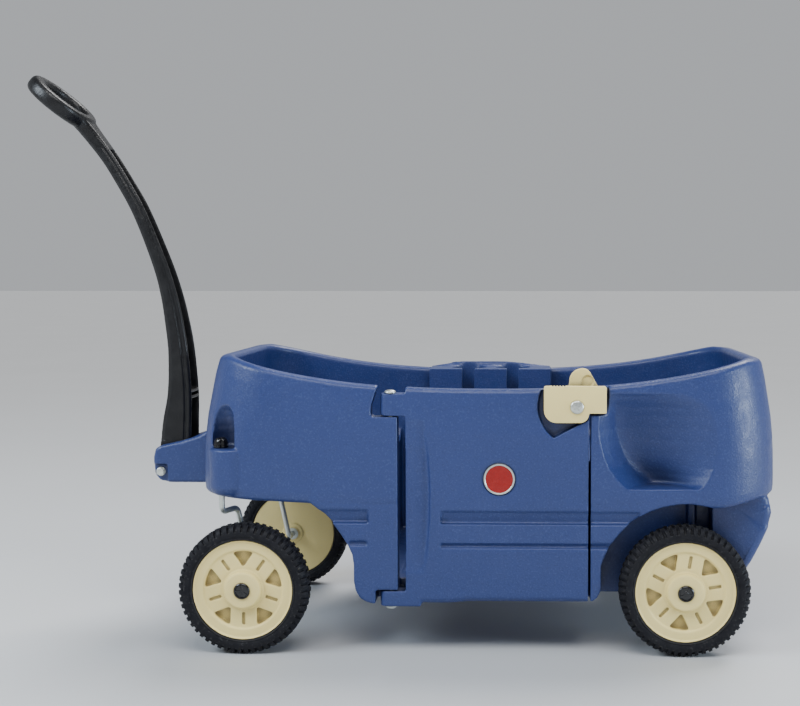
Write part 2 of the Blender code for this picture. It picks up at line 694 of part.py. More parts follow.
def grip_loop():
    tilt = math.radians(LOOP_TILT_DEG)
    along = Vector((math.cos(tilt), 0.0, math.sin(tilt)))
    up = Vector((along.z, 0.0, -along.x))
    turns, sides = 24, 8
    bm = bmesh.new()
    rows = []
    for i in range(turns):
        t = 2 * math.pi * i / turns
        centre = LOOP_CENTRE + along * (LOOP_LENGTH - LOOP_BAR) / 2 * math.cos(t)
        centre += Vector((0, (LOOP_WIDTH - LOOP_BAR) / 2 * math.sin(t), 0))
        outward = (centre - LOOP_CENTRE).normalized()
        rows.append([
            bm.verts.new(centre + outward * LOOP_BAR / 2 * math.cos(s) + up * LOOP_BAR * 0.54 * math.sin(s))
            for s in (2 * math.pi * (k + 0.5) / sides for k in range(sides))
        ])
    for i in range(turns):
        a, b = rows[i], rows[(i + 1) % turns]
        for k in range(sides):
            m = (k + 1) % sides
            bm.faces.new((a[k], a[m], b[m], b[k]))
    return from_bmesh("loop", bm)


def make_handle():
    handle = loft("handle", stem_sections(15, 0.0, 1.0, stem_outline))
    foot = arc((PIVOT.x, PIVOT.z), HANDLE_BOSS_R, 180, 300, 8) + [
        (-0.3650, 0.3020), (-0.3640, 0.3150), (-0.4120, 0.3150), (-0.4145, 0.2980)]
    combine(handle, "UNION", prism("foot", foot, "Y", -HANDLE_BASE_HALF, HANDLE_BASE_HALF), grip_loop())
    rib_share = 2 / 13
    combine(
        handle, "DIFFERENCE",
        loft("channel", stem_sections(3, 0.030, rib_share - 0.005, channel_outline)),
        loft("channel", stem_sections(12, rib_share + 0.005, 0.880, channel_outline)),
        cylinder("bore", (PIVOT.x, PIVOT.z), 0.0043, "Y", -0.08, 0.08, 12),
    )
    finished(handle, "black_plastic", BLACK)


def make_handle_bolt():
    head_y = EAR_Y + GAP
    place = (PIVOT.x, PIVOT.z)
    bolt = cylinder("handle_bolt", place, 0.0039, "Y", -head_y - 0.002, head_y + 0.0065, 12)
    combine(bolt, "UNION", cylinder("head", place, 0.0075, "Y", -head_y - 0.0053, -head_y, 6, 30))
    nut = cylinder("handle_nut", place, 0.0075, "Y", head_y, head_y + 0.0062, 6, 30)
    combine(nut, "DIFFERENCE", cylinder("hole", place, 0.0042, "Y", 0.0, 0.08, 12))
    for piece in (bolt, nut):
        finished(piece, "steel", STEEL)


# ---------------------------------------------------------------- wheels
TYRE_PROFILE = [
    (RIM_R + GAP, -0.0225), (RIM_R + GAP, 0.0225), (0.0930, 0.0245), (0.1000, 0.0215),
    (WHEEL_R, 0.0130), (WHEEL_R, -0.0130), (0.1000, -0.0215), (0.0930, -0.0245),
]
RIM_PROFILE = [
    (BORE_R, 0.0262), (0.0265, 0.0262), (0.0310, 0.0220), (0.0335, 0.0140), (0.0635, 0.0140),
    (0.0665, 0.0190), (RIM_R, 0.0200), (RIM_R, -0.0225), (0.0180, -0.0235), (0.0130, -0.0275),
    (BORE_R, -0.0275),
]


def make_wheel(where, x, side, pocket_deg):
    """Tyre and moulded rim. Seen from outside, five three-cornered pockets alternate with five slots."""
    y = side * WHEEL_Y
    rim = turned(f"{where}_rim", RIM_PROFILE, x, y, WHEEL_R, side, WHEEL_SEGMENTS)
    for i in range(5):
        turn = math.radians(pocket_deg + 72 * i)

        def spot(radius, across, turn=turn):
            return (x + radius * math.cos(turn) - across * math.sin(turn),
                    WHEEL_R + radius * math.sin(turn) + across * math.cos(turn))

        low, high = sorted((y + side * 0.0050, y + side * 0.0300))
        pocket = [
            spot(0.0395, 0.0), spot(0.0575, 0.0150), spot(0.0605, 0.0120), spot(0.0605, -0.0120),
            spot(0.0575, -0.0150),
        ]
        combine(rim, "DIFFERENCE", prism("pocket", pocket, "Y", low, high))
        turn += math.radians(36)
        low, high = sorted((y + side * 0.0090, y + side * 0.0300))
        slot = [
            spot(0.0380, 0.0022, turn), spot(0.0590, 0.0022, turn), spot(0.0590, -0.0022, turn),
            spot(0.0380, -0.0022, turn),
        ]
        combine(rim, "DIFFERENCE", prism("slot", slot, "Y", low, high))
    finished(rim, "cream_plastic", CREAM)
    tyre = turned(f"{where}_tyre", TYRE_PROFILE, x, y, WHEEL_R, side, WHEEL_SEGMENTS)
    finished(tyre, "tyre_rubber", RUBBER)
    cap_profile = [(0.0002, 0.0268), (0.0130, 0.0268), (0.0125, 0.0285), (0.0070, 0.0295), (0.0002, 0.0295)]
    cap = turned(f"{where}_hub_cap", cap_profile, x, y, WHEEL_R, side, 20)
    low, high = sorted((y + side * 0.0268, y + side * 0.0290))
    combine(cap, "UNION", cylinder("fill", (x, WHEEL_R), 0.0020, "Y", low, high, 12))
    finished(cap, "black_plastic", BLACK)
    washer_y = y - side * (0.0275 + GAP)
    low, high = sorted((washer_y, washer_y - side * 0.0015))
    washer = cylinder(f"{where}_washer", (x, WHEEL_R), 0.0110, "Y", low, high, 16)
    combine(washer, "DIFFERENCE", cylinder("hole", (x, WHEEL_R), ROD_R + 0.0004, "Y", -0.30, 0.30, 12))
    finished(washer, "steel", STEEL)


def make_spindle(name, side):
    """One bent rod: kingpin, a jog inwards over the wheel, a trailing leg, and the stub axle."""
    king_y, inner_y = side * KINGPIN.y, side * SPINDLE_INNER_Y
    points = [
        (KINGPIN.x, king_y, 0.3400), (KINGPIN.x, king_y, SPINDLE_BEND_Z + 0.008),
        (KINGPIN.x + 0.001, king_y - side * 0.003, SPINDLE_BEND_Z + 0.002),
        (KINGPIN.x + 0.003, king_y - side * 0.009, SPINDLE_BEND_Z),
        (KINGPIN.x + 0.012, inner_y + side * 0.008, SPINDLE_BEND_Z),
        (KINGPIN.x + 0.015, inner_y + side * 0.002, SPINDLE_BEND_Z - 0.003),
        (KINGPIN.x + 0.018, inner_y, SPINDLE_BEND_Z - 0.010),
        (FRONT_HUB_X - 0.002, inner_y, WHEEL_R + 0.010),
        (FRONT_HUB_X, inner_y + side * 0.003, WHEEL_R + 0.003),
        (FRONT_HUB_X, inner_y + side * 0.010, WHEEL_R),
        (FRONT_HUB_X, side * (WHEEL_Y + 0.0262), WHEEL_R),
    ]
    finished(tube(name, points, ROD_R), "steel", STEEL)


def make_kingpin_cap(name, side):
    """Domed push nut on the kingpin's top end."""
    profile = [
        (ROD_R + 0.0004, 0.0), (0.0125, 0.0), (0.0125, 0.0085), (0.0100, 0.0145), (0.0050, 0.0178),
        (0.0, 0.0185), (0.0, 0.0145), (ROD_R + 0.0004, 0.0140),
    ]
    bm = bmesh.new()
    steps = 16
    rows = []
    for r, up in profile:
        z = KINGPIN_LEDGE_Z + GAP + up
        count = steps if r else 1
        rows.append([
            bm.verts.new((KINGPIN.x + r * math.cos(2 * math.pi * i / steps),
                          side * KINGPIN.y + r * math.sin(2 * math.pi * i / steps), z))
            for i in range(count)
        ])
    for a, b in zip(rows, rows[1:] + rows[:1]):
        if len(a) == len(b) == 1:
            continue
        for i in range(steps):
            j = (i + 1) % steps
            corners = [a[i % len(a)], a[j % len(a)], b[j % len(b)], b[i % len(b)]]
            bm.faces.new(list(dict.fromkeys(corners)))
    finished(from_bmesh(name, bm), "black_plastic", BLACK)


def make_rear_axle():
    end = WHEEL_Y + 0.0262
    finished(cylinder("rear_axle", (REAR_AXLE_X, WHEEL_R), ROD_R, "Y", -end, end, 12), "steel", STEEL)


# ---------------------------------------------------------------- assembly
def build():
    clear_scene()
    make_tub()
    make_door()
    make_hinge_pins()
    make_reflector()
    make_latch()
    make_handle()
    make_handle_bolt()
    make_rear_axle()
    for word, side in (("right", -1), ("left", 1)):
        make_wheel(f"front_{word}", FRONT_HUB_X, side, FRONT_POCKET_DEG)
        make_wheel(f"rear_{word}", REAR_AXLE_X, side, REAR_POCKET_DEG)
        make_spindle(f"front_spindle_{word}", side)
        make_kingpin_cap(f"kingpin_cap_{word}", side)


build()
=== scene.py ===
"""The looks of a kids' pull wagon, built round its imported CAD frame.

Metres, in the frame of the CAD: the handle is at -X, the tail at +X, the door on the -Y side, +Z up.
The blown and rotationally moulded pieces are cut and joined as sharp solids and then skinned, so that
their edges come out soft. Every piece stands for the CAD node of the same part and rides on its body.
"""

import math

import bmesh
import bpy
import numpy as np
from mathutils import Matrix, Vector


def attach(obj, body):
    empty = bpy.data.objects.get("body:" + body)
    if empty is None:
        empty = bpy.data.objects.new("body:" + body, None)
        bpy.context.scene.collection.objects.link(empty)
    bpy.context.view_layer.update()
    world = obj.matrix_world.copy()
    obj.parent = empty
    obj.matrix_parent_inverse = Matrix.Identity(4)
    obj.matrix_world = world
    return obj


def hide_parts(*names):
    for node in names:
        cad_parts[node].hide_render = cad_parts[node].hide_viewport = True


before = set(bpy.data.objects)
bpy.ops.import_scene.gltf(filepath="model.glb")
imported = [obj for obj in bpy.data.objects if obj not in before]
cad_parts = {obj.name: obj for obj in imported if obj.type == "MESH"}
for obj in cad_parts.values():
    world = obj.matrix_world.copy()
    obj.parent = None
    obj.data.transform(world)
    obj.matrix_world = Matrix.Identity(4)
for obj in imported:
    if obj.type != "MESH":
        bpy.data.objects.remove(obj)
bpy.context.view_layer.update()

# -------------------- dimensions shared with the CAD, metres
FRONT_X, REAR_X = -0.308, 0.636
HALF_WIDTH = 0.235
BULGE_Z = 0.285
LEAN_SPAN = 0.19
FRONT_LEAN, REAR_LEAN, SIDE_LEAN = 0.028, 0.022, 0.01
SIDE_BOW = 0.012
CORNER_R = 0.105
WALL = 0.027
DECK_Z, SEAT_Z = 0.239, 0.29
FRONT_RISE, REAR_RISE = 0.0125, 0.012
RIM_LOW_Z, RIM_LOW_X = 0.4245, 0.17
RIM_RISE, RIM_POWER = 0.425, 2.5
RIM_FRONT_X, RIM_REAR_X = -0.255, 0.58

BELLY_HALF, BELLY_Z = 0.2335, 0.085
BELLY_FRONT_X, BELLY_REAR_X = -0.0472, 0.455
FOOTWELL = (-0.012, 0.318)
FOOTWELL_HALF = 0.2005
FLOOR_Z = 0.115

WHEEL_R, RIM_R, WHEEL_Y = 0.104, 0.08, 0.2205
REAR_AXLE_X, FRONT_HUB_X = 0.48, -0.224
ROD_R, BORE_R = 0.0048, 0.0056
ROD_HOLE_R, ON_ROD_R = ROD_R + 0.0012, ROD_R + 0.0004
STUB = 0.0262                               # from a wheel's middle to its axle's end
REAR_POCKET_DEG, FRONT_POCKET_DEG = 45, 18

ARCH_R = 0.139
WELL_FRONT_X, WELL_REAR_X, WELL_HALF = 0.3465, 0.529, 0.15
TAIL_HALF, TAIL_Z = 0.18, 0.082
BOSS_R, BOSS_HALF = 0.022, 0.19

KINGPIN = Vector((-0.265, 0.2))           # x, y
KINGPIN_LEDGE_Z = 0.327
SPINDLE_INNER_Y, SPINDLE_BEND_Z = 0.16, 0.222
KINGPIN_BOSS_R, KINGPIN_BOSS_SHIFT = 0.034, 0.015
NICHE_SHIFT, NICHE_REACH, NICHE_WALL = 0.005, 0.06, 0.009

PIVOT = (-0.407, 0.264)                     # x, z
TONGUE_HALF, TONGUE_SLOT_HALF, TONGUE_SLOT_X = 0.056, 0.034, -0.3565
EAR_Y = 0.052
EAR_INSET = 0.0022       # how much deeper the ear's panel is drawn, with a washer to fill it
HANDLE_BASE_HALF, HANDLE_TOP_HALF, HANDLE_BOSS_R = 0.0325, 0.02, 0.0165
LOOP_CENTRE = Vector((-0.5852, 0.0, 0.9045))
LOOP_TILT_DEG = 139.4
LOOP_LENGTH, LOOP_WIDTH, LOOP_BAR = 0.127, 0.15, 0.025

DOOR_X = (0.036, 0.3265)
DOOR_OPENING_X = (0.0235, 0.33)
DOOR_INNER_Y = -0.2005
DOOR_ROUND = 0.006
THROUGH_DOOR = (-0.26, -0.15)               # y of a cut right through it
BAND_X = DOOR_X[0] + 0.0556                 # where the channels start
DOOR_FOOT_DROP, DOOR_FOOT_X = 0.003, 0.12
HINGE = Vector((0.0116, -0.222))            # x, y
HINGE_PIN_R, HINGE_HEAD_R, HINGE_HEAD_RISE = 0.0038, 0.0092, 0.0052
TOP_KNUCKLE_Z, LOW_KNUCKLE_Z = (0.3822, 0.418), (0.077, 0.1015)

CUP_X = (0.12, 0.203)
CUP_Y, CUP_R, CUP_FLOOR_Z = 0.18, 0.0325, 0.358

LATCH = (0.3075, 0.3977)                    # x, z
LATCH_Y = (-0.2365, -0.2225)
LATCH_POCKET_R, LATCH_POCKET_Y, LATCH_NOTCH_Y = 0.0615, -0.2205, -0.2195
LATCH_TAB_Y = (-0.1995, -0.1885)
BOLT_HEAD_R = 0.0107
REFLECTOR = (0.185, 0.2825)                 # x, z
REFLECTOR_R, REFLECTOR_SEAT_Y = 0.025, -0.2305
GAP = 0.0003

# -------------------- skins: size of grain, softness of the edges, and most triangles
TUB_SKIN = (0.002, 0.0017, 190_000)
DOOR_SKIN = (0.0018, 0.0015, 130_000)
HANDLE_SKIN = (0.0013, 0.0014, 120_000)
RIM_SKIN = (0.001, 0.0009, 60_000)
TAB_SKIN = (0.0008, 0.0014, 30_000)


# -------------------- mesh helpers
def linked(name, data):
    obj = bpy.data.objects.new(name, data)
    bpy.context.scene.collection.objects.link(obj)
    return obj


def from_bmesh(name, bm):
    bmesh.ops.recalc_face_normals(bm, faces=bm.faces)
    mesh = bpy.data.meshes.new(name)
    bm.to_mesh(mesh)
    bm.free()
    return linked(name, mesh)


def loft(name, rings, closed=True):
    """A solid through rings of equally many points, with its ends filled if closed, and joined if not."""
    bm = bmesh.new()
    rows = [[bm.verts.new(p) for p in ring] for ring in rings]
    count = len(rows[0])
    pairs = list(zip(rows, rows[1:])) if closed else list(zip(rows, rows[1:] + rows[:1]))
    for low, high in pairs:
        for i in range(count):
            j = (i + 1) % count
            bm.faces.new((low[i], low[j], high[j], high[i]))
    if closed:
        bm.faces.new(list(reversed(rows[0])))
        bm.faces.new(rows[-1])
    return from_bmesh(name, bm)


def flat_faced(obj):
    """Its many-sided faces cut into triangles, which can't be bent."""
    bm = bmesh.new()
    bm.from_mesh(obj.data)
    bmesh.ops.triangulate(bm, faces=[face for face in bm.faces if len(face.verts) > 4])
    bm.to_mesh(obj.data)
    bm.free()
    return obj


def prism(name, outline, axis, low, high):
    """A flat outline pushed along an axis: (x, z) points along Y, (x, y) along Z, (y, z) along X."""
    def place(a, b, along):
        return {"X": (along, a, b), "Y": (a, along, b), "Z": (a, b, along)}[axis]

    return loft(name, [[place(a, b, along) for a, b in outline] for along in (low, high)])


def box(name, x, y, z):
    return prism(name, [(x[0], y[0]), (x[1], y[0]), (x[1], y[1]), (x[0], y[1])], "Z", *z)


def rotated(points, degrees):
    """Points (along, across) turned about the origin."""
    t = math.radians(degrees)
    return [(a * math.cos(t) - b * math.sin(t), a * math.sin(t) + b * math.cos(t)) for a, b in points]


def spread(start, end, steps):
    """Evenly spaced numbers from start to end, both included."""
    return [start + (end - start) * i / steps for i in range(steps + 1)]


def about(centre, points):
    return [(centre[0] + a, centre[1] + b) for a, b in points]


def bar(start, end, half):
    """A thin rectangle along the first axis."""
    return [(start, half), (end, half), (end, -half), (start, -half)]


def arc(centre, radius, start, end, steps):
    turns = [math.radians(turn) for turn in spread(start, end, steps)]
    return [(centre[0] + radius * math.cos(t), centre[1] + radius * math.sin(t)) for t in turns]


def circle(centre, radius, segments, turn=0.0):
    return arc(centre, radius, turn, turn + 360 * (segments - 1) / segments, segments - 1)


def cylinder(name, centre, radius, axis, low, high, segments=32, turn=0.0):
    return prism(name, circle(centre, radius, segments, turn), axis, low, high)


def full_turn(segments):
    return [2 * math.pi * i / segments for i in range(segments)]


def turned(name, profile, segments=96, centre=(0.0, 0.0)):
    """A closed (radius, outward) profile turned about a line along Y, outward being -Y."""
    rings = []
    for t in full_turn(segments):
        c, s = math.cos(t), math.sin(t)
        rings.append([(centre[0] + r * c, -out, centre[1] + r * s) for r, out in profile])
    return loft(name, rings, closed=False)


def rounded_path(points, radius, steps=6):
    """The points with each inner corner replaced by a curve that starts radius before it."""
    points = [Vector(p) for p in points]
    path = [points[0]]
    for before, corner, after in zip(points, points[1:], points[2:]):
        start = corner + (before - corner).normalized() * min(radius, (before - corner).length * 0.48)
        end = corner + (after - corner).normalized() * min(radius, (after - corner).length * 0.48)
        for t in spread(0, 1, steps):
            path.append(start * (1 - t) ** 2 + corner * 2 * t * (1 - t) + end * t ** 2)
    return path + [points[-1]]


def tube(name, points, radius, segments=20):
    """A round rod through a list of points, with a chamfer at each end."""
    side = Vector((0.3, 1.0, 0.2))
    rings = []
    last = len(points) - 1
    for i, p in enumerate(points):
        along = (points[min(i + 1, last)] - points[max(i - 1, 0)]).normalized()
        across = (side - along * side.dot(along)).normalized()
        third = along.cross(across)
        side = across
        turn = [(math.cos(t), math.sin(t)) for t in full_turn(segments)]
        chamfer = radius * 0.2
        ring = [p + radius * (c * across + s * third) for c, s in turn]
        tip = [p + (radius - chamfer) * (c * across + s * third) for c, s in turn]
        if i == 0:
            rings.append(tip)
            ring = [q + along * chamfer for q in ring]
        elif i == last:
            ring = [q - along * chamfer for q in ring]
        rings.append(ring)
        if i == last:
            rings.append(tip)
    return loft(name, rings)


def settled(obj):
    """Turns the object's modifiers into its mesh."""
    shape = obj.evaluated_get(bpy.context.evaluated_depsgraph_get())
    mesh = bpy.data.meshes.new_from_object(shape)
    obj.modifiers.clear()
    obj.data = mesh
    return obj


def combine(target, operation, *tools):
    for tool in tools:
        boolean = target.modifiers.new(operation, "BOOLEAN")
        boolean.operation = operation
        boolean.solver = "EXACT"
        boolean.object = tool
        settled(target)
        bpy.data.objects.remove(tool)
    return target


def cut(target, *tools):
    return combine(target, "DIFFERENCE", *tools)


def join(target, *tools):
    return combine(target, "UNION", *tools)


def bevelled(obj, width, segments=3, angle=35):
    bevel = obj.modifiers.new("rounding", "BEVEL")
    bevel.width = width
    bevel.segments = segments
    bevel.limit_method = "ANGLE"
    bevel.angle_limit = math.radians(angle)
    return settled(obj)


def skinned(obj, voxel, softness, most_faces):
    """Gives a solid an even skin whose edges are rounded to about the softness, as by moulding."""
    remesh = obj.modifiers.new("skin", "REMESH")
    remesh.mode = "VOXEL"
    remesh.voxel_size = voxel
    smooth = obj.modifiers.new("soften", "SMOOTH")
    smooth.factor = 0.5
    smooth.iterations = max(1, round(4 * (softness / voxel) ** 2))
    settled(obj)
    triangles = 2 * len(obj.data.polygons)
    if triangles > most_faces:
        thin = obj.modifiers.new("thin", "DECIMATE")
        thin.ratio = most_faces / triangles
        settled(obj)
    return obj


def points_of(obj):
    found = np.empty(len(obj.data.vertices) * 3)
    obj.data.vertices.foreach_get("co", found)
    return found.reshape(-1, 3)


def set_points(obj, points):
    obj.data.vertices.foreach_set("co", points.ravel())
    obj.data.update()


def smoothstep(low, high, value):
    t = np.clip((value - low) / (high - low), 0.0, 1.0)
    return t * t * (3 - 2 * t)


def finished(obj, name, body, node, finish, angle=180):
    """Names the piece, gives it its material, and lets it stand for its CAD node on its body."""
    obj.name = name
    obj.data.materials.clear()
    obj.data.materials.append(finish)
    obj.data.shade_smooth()
    if angle < 180:
        obj.data.set_sharp_from_angle(angle=math.radians(angle))
    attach(obj, body)
    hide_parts(node)
    return obj


class Finish:
    """A Principled material in the piece's own coordinates, built up from noises."""

    def __init__(self, name, colour, roughness, metallic=0.0, specular=0.5):
        self.material = bpy.data.materials.new(name)
        self.material.use_nodes = True
        self.tree = self.material.node_tree
        self.shader = self.tree.nodes["Principled BSDF"]
        self.place = self.tree.nodes.new("ShaderNodeTexCoord").outputs["Object"]
        self.colour = self.rgb(colour)
        self.roughness = roughness
        self.height = None
        self.shader.inputs["Metallic"].default_value = metallic
        self.shader.inputs["Specular IOR Level"].default_value = specular

    def rgb(self, colour):
        node = self.tree.nodes.new("ShaderNodeRGB")
        node.outputs[0].default_value = (*colour, 1.0)
        return node.outputs[0]

    def node(self, kind, inputs, **settings):
        """The outputs of a new node, each of whose inputs is given a number or linked to a socket."""
        node = self.tree.nodes.new("ShaderNode" + kind)
        for name, value in settings.items():
            setattr(node, name, value)
        for name, value in inputs.items():
            if isinstance(value, (int, float)):
                node.inputs[name].default_value = value
            else:
                self.tree.links.new(value, node.inputs[name])
        return node.outputs

    def noise(self, scale, detail=2.0):
        return self.node("TexNoise", {"Scale": scale, "Detail": detail, "Vector": self.place})["Fac"]

    def cells(self, scale):
        return self.node("TexVoronoi", {"Scale": scale, "Vector": self.place})["Distance"]

    def edges(self):
        return self.node("NewGeometry", {})["Pointiness"]

    def hollows(self, reach):
        """How open the surface is, from 0 deep in a hollow to 1, looking this far in metres."""
        return self.node("AmbientOcclusion", {"Distance": reach}, samples=8)["AO"]

    def between(self, value, low, high, start=0.0, end=1.0):
        """The value mapped so that low gives start and high gives end, held between them."""
        inputs = {"From Min": low, "From Max": high, "To Min": start, "To Max": end, "Value": value}
        return self.node("MapRange", inputs, interpolation_type="SMOOTHSTEP")["Result"]

    def tint(self, share, colour):
        """Mixes another colour over what is there, by a share between 0 and 1."""
        inputs = {"Factor": share, "A": self.colour, "B": self.rgb(colour)}
        self.colour = self.node("Mix", inputs, data_type="RGBA")["Result"]

    def relief(self, value, depth):
        """Adds bumps of this depth in metres."""
        inputs = {"Strength": 1.0, "Distance": depth, "Height": value}
        if self.height is not None:
            inputs["Normal"] = self.height
        self.height = self.node("Bump", inputs)["Normal"]

    def done(self):
        self.tree.links.new(self.colour, self.shader.inputs["Base Color"])
        if isinstance(self.roughness, float):
            self.shader.inputs["Roughness"].default_value = self.roughness
        else:
            self.tree.links.new(self.roughness, self.shader.inputs["Roughness"])
        if self.height is not None:
            self.tree.links.new(self.height, self.shader.inputs["Normal"])
        return self.material


def noisy(name, colour, tints, gloss, relief, metallic=0.0, specular=0.5):
    """A finish with tints of (source, low, high, start, end, colour), laid one over another. A source is
    a noise's (scale, detail), "edges", or how far to look for hollows. gloss holds a noise's scale and
    detail and its least and most roughness, and each layer of relief a noise's scale, detail and depth."""
    made = Finish(name, colour, 0.5, metallic, specular)
    # tints from edges and from hollows paint highlight and shade into the colour
    for source, low, high, start, end, tone in tints:
        if source == "edges":
            value = made.edges()
        elif isinstance(source, float):
            value = made.hollows(source)
        else:
            value = made.noise(*source)
        made.tint(made.between(value, low, high, start, end), tone)
    scale, detail, smooth, rough = gloss
    made.roughness = made.between(made.noise(scale, detail), 0.3, 0.7, smooth, rough)
    for scale, detail, depth in relief:
        made.relief(made.noise(scale, detail), depth)
    return made


def red_lens():
    made = Finish("red_lens", (0.3, 0.006, 0.004), 0.16, specular=0.4)
    made.tint(made.between(made.noise(160.0), 0.45, 0.75, 0.0, 0.5), (0.38, 0.012, 0.008))
    made.relief(made.cells(420.0), 0.00015)
    return made.done()


# polyethylene with a fine pale fleck, a faint unevenness in colour and gloss, painted highlight on edges
# and painted shade in hollows
BLUE = noisy("blue_moulding", (0.0235, 0.044, 0.165), (
    ((7.0, 3.0), 0.35, 0.7, 0.0, 0.35, (0.019, 0.037, 0.143)),
    ((330.0, 3.0), 0.52, 0.68, 0.0, 0.3, (0.07, 0.11, 0.275)),
    ((520.0, 2.0), 0.32, 0.44, 0.4, 0.0, (0.01, 0.018, 0.075)),
    # painted highlight: lighter along convex edges
    ("edges", 0.53, 0.62, 0.0, 0.35, (0.1, 0.15, 0.33)),
    # painted shade: darker where hollows hide the surface within 5 cm
    (0.05, 0.35, 0.85, 0.75, 0.0, (0.004, 0.006, 0.03)),
), (60.0, 4.0, 0.34, 0.46), ((330.0, 3.0, 0.00045), (26.0, 2.0, 0.001))).done()
CREAM = noisy("cream_moulding", (0.94, 0.77, 0.315), (
    ((14.0, 3.0), 0.35, 0.7, 0.0, 0.4, (0.89, 0.72, 0.285)),
    ((500.0, 2.0), 0.6, 0.74, 0.0, 0.35, (0.86, 0.76, 0.47)),
    # painted highlight: lighter along convex edges
    ("edges", 0.52, 0.6, 0.0, 0.5, (0.88, 0.79, 0.52)),
    # painted shade: darker along concave edges, as round the wheel pockets
    ("edges", 0.4, 0.485, 0.55, 0.0, (0.33, 0.26, 0.14)),
    # painted shade: darker brown in hollows within 14 mm, as in the wheel pockets
    (0.014, 0.4, 0.92, 0.8, 0.0, (0.24, 0.18, 0.08)),
), (80.0, 3.0, 0.38, 0.52), ((600.0, 2.0, 0.00012), (30.0, 2.0, 0.0004)), specular=0.4).done()
# a leather-fine grain breaks up the handle's highlights
BLACK = noisy("black_moulding", (0.005, 0.005, 0.006), (
    ((40.0, 3.0), 0.4, 0.75, 0.0, 0.6, (0.016, 0.016, 0.017)),
    # painted highlight: lighter along convex edges
    ("edges", 0.53, 0.62, 0.0, 0.4, (0.05, 0.05, 0.048)),
), (220.0, 3.0, 0.28, 0.46), ((300.0, 2.0, 0.00022),), specular=0.38).done()
GLOSS = noisy("gloss_black", (0.004, 0.004, 0.005), (
    ((60.0, 3.0), 0.4, 0.75, 0.0, 0.5, (0.009, 0.009, 0.01)),
), (180.0, 2.0, 0.1, 0.2), ((220.0, 2.0, 0.00005),), specular=0.6).done()
RUBBER = noisy("tread_rubber", (0.0045, 0.0045, 0.0075), (
    ((24.0, 4.0), 0.45, 0.75, 0.0, 0.55, (0.012, 0.012, 0.016)),
    ((260.0, 3.0), 0.6, 0.72, 0.0, 0.45, (0.07, 0.07, 0.072)),
    # painted highlight: lighter along the edges of the lugs
    ("edges", 0.53, 0.62, 0.0, 0.8, (0.14, 0.138, 0.135)),
), (90.0, 3.0, 0.58, 0.82), ((520.0, 3.0, 0.0003),), specular=0.3).done()
STEEL = noisy("zinc_steel", (0.68, 0.71, 0.67), (
    ((45.0, 3.0), 0.35, 0.7, 0.0, 0.4, (0.56, 0.6, 0.54)),
), (90.0, 3.0, 0.3, 0.42), ((300.0, 2.0, 0.00003),), metallic=0.85).done()
RED = red_lens()


# -------------------- tub
def rim_z(x):
    x = min(max(x, RIM_FRONT_X), RIM_REAR_X)
    return RIM_LOW_Z + RIM_RISE * abs(x - RIM_LOW_X) ** RIM_POWER


def lean(z):
    return (max(z - BULGE_Z, 0.0) / LEAN_SPAN) ** 2


def side_y(x, z):
    middle, reach = (FRONT_X + REAR_X) / 2, (REAR_X - FRONT_X) / 2
    return HALF_WIDTH - SIDE_LEAN * lean(z) - SIDE_BOW * abs((x - middle) / reach) ** 4


def flat(x):
    return 0.0


def deck_z(x):
    """The shell's lower edge, which rises towards both ends."""
    front = min(max((0.02 - x) / 0.29, 0.0), 1.0)
    return DECK_Z + FRONT_RISE * front + REAR_RISE * float(smoothstep(0.528, 0.616, x))


def plan_ring(inset, follow, rise, side_steps=44, end_steps=14, corner_steps=16):
    """One level of the shell: a rounded rectangle, inset, on the leaning walls, at follow(x) + rise."""
    end_z = follow(FRONT_X) + rise
    front = FRONT_X + FRONT_LEAN * lean(end_z) + inset
    rear = REAR_X - REAR_LEAN * lean(end_z) - inset
    half = HALF_WIDTH - inset
    radius = max(CORNER_R - inset, 0.03)
    outline = []
    for (cx, cy, start), steps, end in (
        ((rear - radius, half - radius, 0), side_steps, (front + radius, half)),
        ((front + radius, half - radius, 90), end_steps, (front, radius - half)),
        ((front + radius, radius - half, 180), side_steps, (rear - radius, -half)),
        ((rear - radius, radius - half, 270), end_steps, (rear, half - radius)),
    ):
        corner = arc((cx, cy), radius, start, start + 90, corner_steps)
        x, y = corner[-1]
        run = [(x + (end[0] - x) * i / steps, y + (end[1] - y) * i / steps) for i in range(1, steps)]
        outline += corner + run
    ring = []
    for x, y in outline:
        z = follow(x) + rise
        ring.append((x, y * side_y(x, z) / HALF_WIDTH, z))
    return ring


def shell():
    """The bowl: up the outer wall, over the rolled rim, down to the seats."""
    levels = [
        (0.016, deck_z, -0.0035), (0.005, deck_z, -0.003), (0.001, deck_z, 0.0015), (0.0, deck_z, 0.012),
        (0.0, flat, BULGE_Z), (0.0, flat, 0.315), (0.0, flat, 0.345), (0.0, flat, 0.375),
        (0.0, rim_z, -0.03),
    ]
    for k in range(1, 12):
        t = math.pi * k / 12
        bulge = WALL / 2 * (1 - math.copysign(abs(math.cos(t)) ** 0.8, math.cos(t)))
        levels.append((bulge, rim_z, -0.012 * (1 - math.sin(t) ** 0.8)))
    levels += [
        (WALL, rim_z, -0.03), (WALL + 0.001, flat, 0.375), (WALL + 0.003, flat, 0.345),
        (WALL + 0.008, flat, SEAT_Z + 0.02), (WALL + 0.016, flat, SEAT_Z + 0.006),
        (WALL + 0.03, flat, SEAT_Z),
    ]
    return flat_faced(loft("tub_shell", [plan_ring(*level) for level in levels]))


